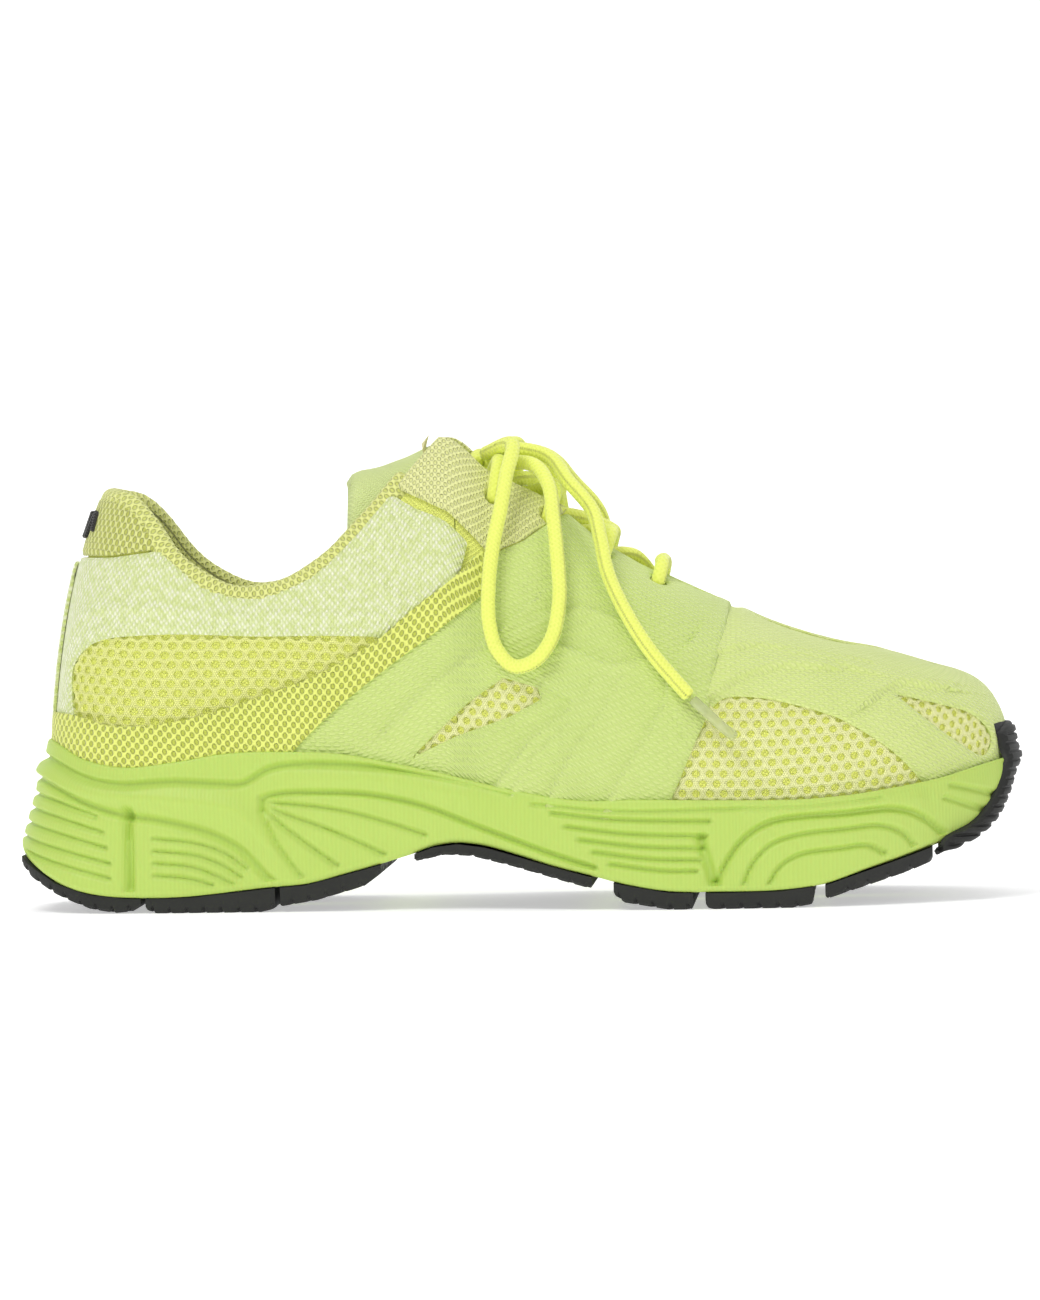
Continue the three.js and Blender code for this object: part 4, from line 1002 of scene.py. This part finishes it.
for sideName, sign in (("lateral", -1), ("medial", 1)):
    only = (sign,)
    sheet("quarter_mesh_" + sideName, "backing", both(upperBand, rearOf(-16.15)),
          evenly(meshLevel), meshWall, meshCell, only)
    sheet("heel_panel_" + sideName, "panel",
          both(upperBand, panelArea, away(sideView(heelWindow), 0)),
          shaped(rolled(overlayOut), raised(panelRidges, 0.55, 1.1), lambda p: 0.2 * puff(p)), 1.1, 1.1, only)
    sheet("eyestay_" + sideName, "eyestay",
          both(upperBand, outsideEyelets, sideView(eyestayLine), away(panelArea, 0.9)),
          shaped(rolled(1.9, 1.6, 1.2)), 1.3, 0.9, only)
    sheet("side_overlay_" + sideName, "overlay",
          both(upperBand, outsideEyelets, sideView(sideLine), away(sideView(archWindow), 0), away(panelArea)),
          shaped(rolled(1.5), folded(pleats, 2.1, 6.0), lambda p: 0.3 * puff(p)), 1.1, 0.85, only)
    sheet("strap_" + sideName, "strap",
          both(sideView(strapLine), lambda p, s: np.abs(p[..., 1]) - 4.15, aboveFeather),
          rolled(2.8, 0.8, 0.6), 0.9, 1.1, only)
print("side pieces")

sheet("vamp_mesh", "backing", both(throatTest, outsideEyelets, frontOf(-15.85)),
      evenly(meshLevel), meshWall, meshCell)


def toeLayer(p, s, f):
    # slips under the side overlays at its rear edge
    base = shaped(rolled(overlayOut), folded(toePleats, 1.7, 5.0))(p, s, f)
    return base - (1 - smoothstep(inside(p[..., 0], p[..., 2], toeLine), 0.5, 3.4))


toeBack = [[x - (2.6 if x < 100 else 0), z] for x, z in toeLine]
vampTest = clearOf(vampWindow, 55)
sheet("toe_overlay", "toeOverlay",
      both(throatTest, sideView(toeBack), away(sideView(foreWindow), 0), away(sideView(toeWindow), 0), vampTest),
      toeLayer, 1.1, 1.0)
sheet("heel_patch", "patch", both(collarTest, sideView(patchLine)),
      shaped(rolled(1.4), lambda p: 0.25 * puff(p)), 1.1, 0.9)


def either(*tests):
    return lambda p, s: np.maximum.reduce([t(p, s) for t in tests])


quarterNet = hexNet("quarter_mesh_net", both(upperBand, sideView(heelWindow), rearOf(-16.2)),
                    4.4, 3.75, 0.66, 0.2, 0.5)
finishPiece(quarterNet, finish["net"], angle=60)
vampNet = hexNet("vamp_mesh_net",
                 both(throatTest, either(sideView(foreWindow), sideView(toeWindow), sideView(archWindow),
                                         away(vampTest, 0)), frontOf(-31)),
                 4.1, 3.9, 0.62, 0.2, 0.5)
finishPiece(vampNet, finish["foreNet"], angle=60)
print("nets")

# Lining and foam
liningLine = mirrored([[x, float(throatHalf(x)) + 12] for x in (-60, -25, 0, 30, 55)] + [[76, 16.2]])
liningTest = clearOf(liningLine, 60)
sheet("collar_lining", "lining", both(collarTest, rearOf(-16.2), liningTest),
      lambda p, s, f: -3.7 - padding(p), 0.5, 1.6)
foam = sheet("collar_foam", "softFoam", both(collarTest, lambda p, s: p[..., 2] - 84.2, rearOf(-33)),
             evenly(-1.6), 1.3, 2.0)
sheet("vamp_lining", "lining", both(frontOf(-15.8), liningTest), evenly(-3.3), 0.5, 2.0)
print("linings")

# Padded roll round the ankle opening, wider inwards than it is high
rollStations = [-30, -36, -46, -57, -68, -78, -86, -93, -102, -109, -115, -119.5]


def collarPoint(x, sign, distance):
    return sidePoint(x, float(collarSeam(x)) - 0.3, sign, distance)


rollIn = 1.5 - layers["rollRadius"]
backPoint = collarPoint(-130, -1, rollIn)
backPoint[1] = 0
rollRoute = spline([collarPoint(x, -1, rollIn) for x in rollStations] + [backPoint]
                   + [collarPoint(x, 1, rollIn) for x in rollStations[::-1]], 14)


def rollSection(s, a):
    # flat towards the seam line, full at the top
    return -0.35 * np.cos(a * 2) + 0.12 * np.sin(s * 0.35) + 0.05 * np.sin(s * 1.7 + a)


roll, _, _ = tubeMesh("collar_binding_look", rollRoute, layers["rollRadius"], 32, rollSection, 1.0)
finishPiece(roll, finish["binding"], ["collar_binding"])

# Tongue: knit face over foam, with a rolled top edge, and the lining under it
tongueEdge = profile([[-60, 108], [-50, 108], [-20, 107], [0, 99], [30, 85], [60, 71], [80, 62]])
tongueLine = mirrored([[-50, 24], [-47, 30], [-40, 31], [-20, 29], [0, 26], [30, 21], [55, 16], [74.5, 13.4]])


def tongueArea(p, s):
    return np.minimum(inside(p[..., 0], p[..., 1], tongueLine), p[..., 2] - tongueEdge(p[..., 0]))


def tongueRise(p):
    return 5.9 * smoothstep(p[..., 0], 58, 72)


def tongueFace(p, s, f):
    edge = np.clip(1 - f / 3.6, 0, 1)
    crown = 0.5 * np.sin(p[..., 0] * 0.19) * smoothstep(f, 2, 8)
    return layers["tongueOut"] + tongueRise(p) - 3.4 * (1 - np.sqrt(1 - edge * edge)) + crown


def tongueBack(p, s, f):
    edge = np.clip(1 - f / 3.6, 0, 1)
    return layers["tongueOut"] + tongueRise(p) - 7.4 + 3.6 * (1 - np.sqrt(1 - edge * edge))


sheet("tongue_face", "tongue", tongueArea, tongueFace, 0.8, 1.2, body="tongue")
pad = sheet("tongue_foam", "softFoam", both(tongueArea, lambda p, s: tongueArea(p, s) - 1.2),
            lambda p, s, f: tongueFace(p, s, f + 1.2) - 0.9, 4.6, 2.0, body="tongue")
sheet("tongue_lining", "lining", tongueArea, tongueBack, 0.6, 1.4, body="tongue", flip=True)
print("tongue")


# Insole and board: lasted outline with a cupped edge
def insolePoint(turn, side, inset, height):
    p = shellPoint(turn, np.zeros(turn.shape), side)
    n = shellNormal(turn, np.zeros(turn.shape), side)
    q = p - n * inset[..., None]
    q[..., 2] = footbed(q[..., 0]) + height
    return q


def loft(name, rings, flat=False):
    # closed skin through rings of equal length, the first and last ones shrunk to a line
    count = rings[0].shape[0]
    obj = addGrid(name, count, len(rings) - 1)
    mesh = obj.data
    k, r = gridPlace(obj, count, len(rings) - 1)
    k %= count
    stack = np.stack(rings)
    p = stack[r, k]
    length = np.concatenate([[0], np.cumsum(np.linalg.norm(np.diff(stack[len(rings) // 2], axis=0), axis=1))])
    setUv(mesh, p[:, :2] if flat else np.stack([length[k], p[:, 2]], -1))
    setCoords(mesh, p)
    apply(obj, "WELD", merge_threshold=0.00002)
    return obj


def roundOutline(count):
    # turn and side of points evenly spaced round the sole
    half = count // 2
    t = np.interp(np.linspace(0, turnArc[-1], half + 1), turnArc, turnTable)
    turn = np.concatenate([t, t[::-1][1:-1]])
    side = np.concatenate([-np.ones(half + 1), np.ones(half - 1)])
    return turn, side


def spine(p, reach=(-112, 112)):
    x = np.clip(p[..., 0], *reach)
    return np.stack([x, centreLine(x)], -1)


def slabPiece(name, inset, low, high, cup, material, node):
    turn, side = roundOutline(360)
    rings = []
    flat = np.zeros(turn.shape)
    for share, height in ((0, low), (0.5, low), (0.96, low), (1.0, low + 0.5), (1.0, high - 0.6 + cup),
                          (0.985, high + cup), (0.93, high + cup * 0.6), (0.8, high), (0.5, high), (0.25, high),
                          (0, high)):
        edge = insolePoint(turn, side, flat + inset, height)
        mid = spine(edge)
        xy = mid + (edge[:, :2] - mid) * share
        rings.append(np.column_stack([xy, footbed(xy[:, 0]) + height]))
    obj = loft(name, rings, True)
    return finishPiece(obj, material, [node])


slabPiece("insole_look", 4.6, 2.2, 6.5, 1.6, finish["insole"], "insole")
slabPiece("strobel_board_look", 4.4, 0.5, 1.7, 0, finish["board"], "strobel_board")

# Heel tape and the embroidered zigzag
tapeHalf, tapeTop = 3.85, 103
sheet("heel_tape", "panel",
      both(lambda p, s: tapeHalf - np.abs(p[..., 1]), rearOf(-108), lambda p, s: tapeTop - p[..., 2], aboveFeather),
      rolled(2.85, 0.6, 0.4), 0.9, 0.8)


def onHeel(y, z, distance):
    turn, climb = 0.02, 0.6
    for _ in range(120):
        p = shellPoint(np.array(turn), np.array(climb), np.array(-1.0 if y < 0 else 1.0))
        turn = min(max(turn + (abs(y) - abs(p[1])) / 900, 0), 0.3)
        climb = min(max(climb + (z - p[2]) / 220, 0), 1)
    s = np.array(-1.0 if y < 0 else 1.0)
    return shellPoint(np.array(turn), np.array(climb), s) + \
        shellNormal(np.array(turn), np.array(climb), s) * distance


zigzag = [[-11, 112], [-8.8, 117.5], [-6.6, 110.5], [-4.4, 117.5], [-2.2, 110.5], [0, 117.5], [2.2, 110.5],
          [4.4, 117.5], [6.6, 110.5], [8.8, 117.5], [11, 112]]
markRoute = spline([onHeel(y, z, 1.9) for y, z in zigzag], 8)


def satin(s, a):
    return 0.12 * np.sin(s * 7.5 + a)


mark, _, _ = tubeMesh("heel_embroidery_look", markRoute, 0.75, 12, satin, 0.25)
finishPiece(mark, finish["thread"], ["heel_embroidery"])
print("heel")

# Midsole
solePairs = [[-150, 20], [-146, 15], [-136, 9], [-126, 5.9], [-114, 4.6], [-96, 4.8], [-73, 7.2], [-61, 8.2],
             [-49, 11.2], [-40, 13.6], [-30, 16.6], [-23, 19], [-16, 19.8], [-8, 18.8], [2, 16], [12, 12.8],
             [24, 9.8], [34, 7.2], [46, 5.3], [60, 5], [78, 5.1], [92, 6.8], [104, 10.6], [116, 14.3],
             [128, 18.4], [135, 21.4], [140, 25], [144, 31], [147.5, 38], [152, 41]]
soleHeight = profile(solePairs)
sole = {"overhang": 3.5, "flare": 2.6, "heelFlare": 15.4, "corner": 2.2}
soleReach = (-118, 112)


def heelShare(x):
    return 1 - smoothstep(x, -139, -108)


def toeShare(x):
    return smoothstep(x, 110, 146)


grooves = [  # [route, width, depth], seen from the side
    ([[-149, 47], [-140, 45], [-126.3, 39.4], [-116, 37.8], [-101, 38.7], [-86, 37.9], [-79.5, 38], [-71.4, 42.3],
      [-61.5, 43.4], [-36.6, 42], [-16.8, 38.8], [0, 34.6]], 1.1, 1.5),
    ([[-149, 41], [-141, 39], [-126.3, 32.1], [-116, 29.1], [-106, 27.6], [-91, 24], [-81, 18.9], [-73.5, 11.1],
      [-69.6, 7.5]], 1.2, 1.6),
    ([[-114, 30], [-113.8, 18], [-114, 2]], 1.4, 2.4),
    ([[-152, 36], [-138, 33.2], [-124, 28.6]], 0.8, 1.2),
    ([[-152, 31.6], [-138, 28.6], [-122, 24]], 0.8, 1.2),
    ([[-152, 27.2], [-138, 24], [-121, 19.4]], 0.8, 1.2),
    ([[-152, 22.8], [-138, 19.4], [-120, 14.8]], 0.8, 1.2),
    ([[-148, 18], [-136, 14.6], [-120, 10.4]], 0.8, 1.2),
    ([[-106, 22], [-94, 20.6], [-85, 17.4], [-79, 13]], 0.75, 1.1),
    ([[-106, 18.4], [-94, 17], [-86, 14], [-80.5, 10.4]], 0.75, 1.1),
    ([[-106, 14.8], [-95, 13.6], [-88, 11], [-83, 8.4]], 0.75, 1.1),
    ([[-106, 11.2], [-96, 10.2], [-89, 8.2]], 0.75, 1.1),
    ([[-74, 33.6], [-69.6, 34.8], [-56.4, 35.1], [-41.7, 34.2], [-26.7, 30.9], [-11.7, 25.2], [0, 20.8],
      [12, 16.4], [24, 12.4]], 0.95, 1.5),
    ([[-74, 32.4], [-64, 31.6], [-50, 29.6], [-38, 26.4], [-26, 22.4]], 0.8, 1.2),
    ([[-74, 31.4], [-65, 28], [-54, 24], [-44, 19.6], [-38, 16.6]], 0.8, 1.2),
    ([[-74, 30.4], [-67.5, 25], [-59, 18.6], [-52, 13.6]], 0.8, 1.2),
    ([[-74, 29.6], [-70.4, 21.6], [-66, 14.6], [-62, 9.6]], 0.8, 1.2),
    ([[12, 28.4], [30, 26.4], [58, 25.6]], 0.8, 1.2),
    ([[16, 24.4], [34, 22.2], [57, 21.4]], 0.8, 1.2),
    ([[20, 20.6], [38, 18.4], [56, 17.8]], 0.8, 1.2),
    ([[24, 17], [41, 14.8], [55, 14.4]], 0.8, 1.2),
    ([[29, 13.4], [44, 11.4], [54, 11.2]], 0.8, 1.2),
    ([[55.6, 20.4], [57.6, 13], [60.4, 4]], 1.5, 2.2),
    ([[58.8, 4], [62, 12], [68.1, 20.4], [76.5, 25.2], [98.7, 27.2], [112, 28], [120, 25.4],
      [128.7, 18]], 1.0, 1.6),
    ([[67, 5], [70.5, 13], [76, 18.6], [84, 21.2], [98, 22.6], [108, 23.2], [114.6, 20.6],
      [119, 15.4]], 0.8, 1.2),
    ([[74.5, 5.4], [78, 11.6], [84, 15.4], [96, 17], [104, 17.6], [109, 15.4]], 0.8, 1.2),
    ([[127, 30.6], [133, 28.4], [140, 25.6]], 0.9, 1.0),
    ([[129, 34.2], [136, 32.4], [143, 30]], 0.9, 1.0),
    ([[6, 31], [30, 28.8], [60, 29], [90, 29.8], [108, 31.4]], 0.7, 0.8),
]
swells = [([[-148, 43.6], [-126, 36], [-100, 33.4], [-82, 30], [-72, 20]], 3.0, 1.6),
          ([[-60, 39.4], [-36, 38.4], [-14, 34]], 3.2, 0.9), ([[70, 29.4], [98, 30], [118, 31]], 2.4, 0.7)]


def sculpt(x, z):
    total = np.zeros(x.shape)
    for line, width, depth in grooves:
        route = spline(line, 5)
        d = lineDistance(x, z, route)
        near = d < width * 3.5
        total[near] -= 1.2 * depth * np.exp(-np.abs(d[near] / width) ** 2.6)
    for line, width, high in swells:
        total += high * np.exp(-(lineDistance(x, z, spline(line, 5)) / width) ** 2)
    return total


def wallPoint(turn, side, z, grow=0.0):
    p = shellPoint(turn, np.zeros(turn.shape), side)
    n = shellNormal(turn, np.zeros(turn.shape), side)
    row = np.clip((z + 4) / (rimLine(p[:, 0]) + 4), 0, 1)
    flare = (sole["flare"] + sole["heelFlare"] * heelShare(p[:, 0])) * (1 - row) ** 1.3 * (1 - toeShare(p[:, 0]))
    return p[:, :2] + n[:, :2] * (sole["overhang"] + grow + flare)[:, None], n


turn, side = roundOutline(840)
bare = np.zeros(turn.shape)
lowZ = soleHeight(shellPoint(turn, bare, side)[:, 0])
for _ in range(4):
    lowZ = soleHeight(wallPoint(turn, side, lowZ)[0][:, 0])
topZ = rimLine(shellPoint(turn, bare, side)[:, 0])
rings = []
edge, _ = wallPoint(turn, side, lowZ)
mid = spine(np.column_stack([edge, lowZ]), soleReach)
for share in (0, 0.2, 0.4, 0.6, 0.75, 0.88, 0.94):
    xy = mid + (edge - mid) * share
    rings.append(np.column_stack([xy, soleHeight(xy[:, 0]) + 0.02]))
corner = sole["corner"]
for a in np.linspace(0.15, 1.4, 5):
    z = lowZ + corner * (1 - math.cos(a))
    xy, n = wallPoint(turn, side, z)
    rings.append(np.column_stack([xy - n[:, :2] * corner * (1 - math.sin(a)), z]))
for share in np.linspace(0, 1, 78):
    z = lowZ + corner + (topZ - 1.1 - lowZ - corner) * share
    xy, n = wallPoint(turn, side, z)
    x = xy[:, 0]
    fade = smoothstep(z - lowZ, 1.0, 3.0) * (1 - smoothstep(z - topZ, -2.2, -0.9))
    bulge = 0.5 * np.sin(share * np.pi)
    rings.append(np.column_stack([xy + n[:, :2] * (sculpt(x, z) * fade + bulge)[:, None], z]))
for a in np.linspace(0.3, 1.57, 4):
    xy, n = wallPoint(turn, side, topZ)
    rings.append(np.column_stack([xy - n[:, :2] * 0.85 * (1 - math.cos(a)), topZ - 1.1 + 1.0 * math.sin(a)]))
inner, n = wallPoint(turn, side, topZ, -1.75)
rings.append(np.column_stack([inner, topZ - 0.3]))
rings.append(np.column_stack([inner, footbed(inner[:, 0]) - 0.2]))
mid = spine(np.column_stack([inner, topZ]), soleReach)
for share in (0.6, 0):
    xy = mid + (inner - mid) * share
    rings.append(np.column_stack([xy, footbed(xy[:, 0]) - 0.2]))
midsole = loft("midsole_look", rings)
finishPiece(midsole, finish["foam"], ["midsole"], angle=60)
print("midsole")


def padRoof(x):
    return np.interp(x, [a[0] for a in solePairs], [a[1] for a in solePairs]) - 0.3


# Rubber pods: a bevelled pad with tread lugs along the edge and across the ground face
def podPiece(name, bottom, y0, y1, lugPitch=5.2, lugDepth=1.3):
    xs = np.array([b[0] for b in bottom], float)
    zs = np.array([b[1] for b in bottom], float)
    nx = max(int((xs[-1] - xs[0]) / 0.45), 24)
    ny = 90
    x = np.linspace(xs[0], xs[-1], nx)
    half = halfOutline(x)
    lowY = np.maximum(half[0] + 1.2, y0)
    highY = np.minimum(half[1] - 1.2, y1)
    keep = highY - lowY > 1.5
    x, lowY, highY = x[keep], lowY[keep], highY[keep]
    nx = len(x)
    ground = np.interp(x, xs, zs)
    roof = padRoof(x)
    v = np.linspace(0, 1, ny)
    y = lowY[:, None] + (highY - lowY)[:, None] * v[None, :]
    xx = np.repeat(x[:, None], ny, 1)
    # chevron lugs on the ground face
    wave = np.abs(((xx + np.abs(y - y.mean()) * 0.35) / lugPitch) % 1 - 0.5) * 2
    cutX = smoothstep(wave, 0.12, 0.30)
    rows = np.abs(((y - y0) / 7.5) % 1 - 0.5) * 2
    cutY = smoothstep(rows, 0.06, 0.2)
    room = np.clip(roof - ground - 1.0, 0.3, lugDepth)[:, None]
    depth = room * (1 - np.minimum(cutX, cutY))
    toEnd = np.minimum(xx - x[0], x[-1] - xx)
    toSide = np.minimum(y - lowY[:, None], highY[:, None] - y)
    border = np.minimum(toEnd, toSide)
    roundOff = 0.8 * (1 - np.sqrt(1 - (1 - np.clip(border / 0.9, 0, 1)) ** 2))
    low = ground[:, None] + depth + roundOff
    low = np.minimum(low, roof[:, None] - 0.3)
    obj = addGrid(name + "_look", nx - 1, ny - 1)
    i, j = gridPlace(obj, nx - 1, ny - 1)
    points = np.stack([xx[i, j], y[i, j], low[i, j]], -1)
    setCoords(obj.data, points)
    setUv(obj.data, points[:, :2])
    activate(obj)
    setMode("EDIT")
    bpy.ops.mesh.select_all(action="SELECT")
    bpy.ops.mesh.flip_normals()
    bpy.ops.mesh.select_mode(type="EDGE")
    bpy.ops.mesh.select_all(action="DESELECT")
    bpy.ops.mesh.select_non_manifold()
    bpy.ops.mesh.extrude_edges_move(TRANSFORM_OT_translate={"value": (0, 0, 0.0001)})
    setMode("OBJECT")
    total = len(obj.data.vertices)
    added = np.arange(nx * ny, total)
    co = coords(obj.data)
    co[added, 2] = padRoof(co[added, 0] * 1000 - shift[0]) * 0.001
    obj.data.vertices.foreach_set("co", co.ravel())
    setMode("EDIT")
    bpy.ops.mesh.edge_face_add()
    setMode("OBJECT")
    return finishPiece(obj, finish["rubber"], [name], angle=35)


def outlineSpan():
    t = np.linspace(0, 1, 600)
    spans = []
    for sign in (-1.0, 1.0):
        s = np.full(t.shape, sign)
        p = shellPoint(t, np.zeros(t.shape), s)
        n = shellNormal(t, np.zeros(t.shape), s)
        d = sole["overhang"] + 1.95 + sole["heelFlare"] * 0.62 * heelShare(p[:, 0])
        q = p[:, :2] + n[:, :2] * d[:, None]
        order = np.argsort(q[:, 0])
        spans.append(q[order])
    return spans


spans = outlineSpan()


def halfOutline(x):
    return [np.interp(x, spans[0][:, 0], spans[0][:, 1]), np.interp(x, spans[1][:, 0], spans[1][:, 1])]


podPiece("outsole_heel_rear", [[-147.5, 14.2], [-144, 10.4], [-136, 5.6], [-126, 1.4], [-118, 0.2],
                               [-113, 0.6], [-110.5, 2]], -90, 90)
podRows = [("outsole_heel", [[-109, 1.2], [-106, 0], [-75, 0], [-70.5, 1]]),
           ("outsole_arch", [[-69, 1.6], [-58, 3.4], [-44, 7.4], [-39, 11]]),
           ("outsole_forefoot_1", [[29.8, 4.6], [33, 2.2], [46, 0], [53, 0]]),
           ("outsole_forefoot_2", [[56.6, 0.6], [59, 0], [82, 0], [88, 1]]),
           ("outsole_forefoot_3", [[91.5, 2.2], [104, 6], [116, 9.6], [123, 12.3]])]
for name, line in podRows:
    mid = float(centreLine((line[0][0] + line[-1][0]) / 2))
    podPiece(name + "_lateral", line, -90, mid - 4)
    podPiece(name + "_medial", line, mid + 4, 90)
podPiece("outsole_midfoot", [[-29, 14.4], [-20, 16.4], [-12, 16], [0, 13], [12, 9.4], [23.5, 6.2]], -90, 90,
         5.2, 0.8)
print("pods")

# Toe bumper: a ribbed band from under the toe, over the foam and on to the upper
soleX = profile([[13.2, 123], [15.4, 128], [18.6, 135], [23, 140.4], [30, 144.5], [38, 147.5], [46, 153]])
bumperReach = profile([[12, 46], [19, 44], [23, 34], [28, 27], [34, 21.5], [42, 17.5], [54, 15.5]])
columns, rows = 150, 110
across = np.linspace(-1, 1, columns)
zRow = np.linspace(13.6, 52.2, rows)
tipSide = np.where(across < 0, -1.0, 1.0)
turnTip = np.interp(turnArc[-1] - np.abs(across) * 16.5, turnArc, turnTable)
climbs = np.linspace(0, 0.6, 60)
points = np.zeros((columns, rows, 3))
for k in range(columns):
    t = np.full(60, turnTip[k])
    s = np.full(60, tipSide[k])
    p = shellPoint(t, climbs, s)
    n = shellNormal(t, climbs, s)
    out = 2.2
    upper = np.stack([np.interp(zRow, p[:, 2], p[:, i] + n[:, i] * (1.8 + out)) for i in (0, 1)], -1)
    one = np.interp(turnArc[-1] - abs(across[k]) * bumperReach(zRow), turnArc, turnTable)
    wall, n = wallPoint(one, np.full(rows, tipSide[k]), np.minimum(zRow, 42), out)
    gapX = wall[:, 0] - (soleX(zRow) + 1.6)
    soft = np.log1p(np.exp(np.clip(gapX / 1.2, -30, 30))) * 1.2
    wall[:, 0] -= soft
    share = smoothstep(zRow, 39.5, 45)[:, None]
    xy = wall * (1 - share) + upper * share
    points[k] = np.column_stack([xy, zRow])
cell = np.minimum((1 - np.abs(across))[:, None] * bumperReach(zRow)[None, :],
                  np.minimum(zRow - zRow[0], (zRow[-1] - 3.5 * np.abs(across)[:, None] ** 2) - zRow))
fall = np.clip(1 - np.clip(cell, 0, 9) / 1.4, 0, 1)
ribWave = np.abs(((zRow[None, :] + 0 * cell) / 2.6) % 1 - 0.5) * 2
rib = 0.7 * smoothstep(ribWave, 0.2, 0.45) * smoothstep(cell, 1.0, 2.2)
inwardX = 1.7 * (1 - np.sqrt(1 - fall ** 2)) - rib + 0.5
tangent = np.gradient(points, axis=1)
push = np.cross(np.gradient(points, axis=0), tangent)
push /= np.linalg.norm(push, axis=2)[..., None] + 1e-9
push *= np.where(push[..., :1] < 0, -1, 1)
points -= push * inwardX[..., None]
bumper = addGrid("outsole_toe_look", columns - 1, rows - 1)
i, j = gridPlace(bumper, columns - 1, rows - 1)
setCoords(bumper.data, points[i, j])
setUv(bumper.data, np.column_stack([across[i] * bumperReach(zRow[j]), zRow[j]]))
apply(bumper, "SOLIDIFY", thickness=0.0015, offset=-1)
finishPiece(bumper, finish["rubber"], ["outsole_toe"], angle=35)
print("bumper")

# Hidden stiffeners keep their CAD shape
for node in ("heel_counter", "toe_puff"):
    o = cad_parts[node]
    o.data.materials.clear()
    o.data.materials.append(finish["stiffener"])

# Stage and light
floor = addGrid("stage_floor", 2, 40)
sweep = coords(floor.data)
reach = (sweep[:, 1] + 0.5) * 9 - 4
turnBack = np.clip((reach - 1.6) / 1.4, 0, np.pi / 2)
floor.data.vertices.foreach_set("co", np.column_stack([
    sweep[:, 0] * 10, np.minimum(reach, 1.6) + 1.4 * np.sin(turnBack),
    1.4 * (1 - np.cos(turnBack)) + np.maximum(reach - 1.6 - 1.4 * np.pi / 2, 0)]).ravel())
activate(floor)
bpy.ops.object.shade_smooth()
floorLook = Nodes("stage_floor", 0.75)
floorLook.colour(floorLook.mix(floorLook.noise(3, 2), (0.86, 0.86, 0.86, 1), (0.90, 0.90, 0.90, 1)))
floorLook.shader.inputs["Emission Color"].default_value = (1, 1, 1, 1)
floorLook.shader.inputs["Emission Strength"].default_value = 0.46
floor.data.materials.append(floorLook.material)
world = bpy.data.worlds.new("studio")
bpy.context.scene.world = world
world.use_nodes = True
world.node_tree.nodes["Background"].inputs["Color"].default_value = (1, 1, 1, 1)
world.node_tree.nodes["Background"].inputs["Strength"].default_value = 0.40
lights = {"key": ((-0.55, -0.9, 1.5), 13, 0.7), "fill": ((1.2, -1.0, 0.7), 3.4, 1.2),
          "top": ((0.1, 0.5, 1.7), 6.5, 1.2), "back": ((0.0, 0.9, 0.9), 12, 1.6)}
for name, (place, power, size) in lights.items():
    bpy.ops.object.light_add(type="AREA", location=place)
    lamp = bpy.context.object
    lamp.name = "stage_" + name
    lamp.data.energy = power
    lamp.data.size = size
    lamp.rotation_mode = "QUATERNION"
    target = Vector((0, 4, 1.2) if name == "back" else (0, 0, 0.06))
    lamp.rotation_quaternion = (target - Vector(place)).to_track_quat("-Z", "Y")
bpy.context.scene.view_settings.view_transform = "Standard"
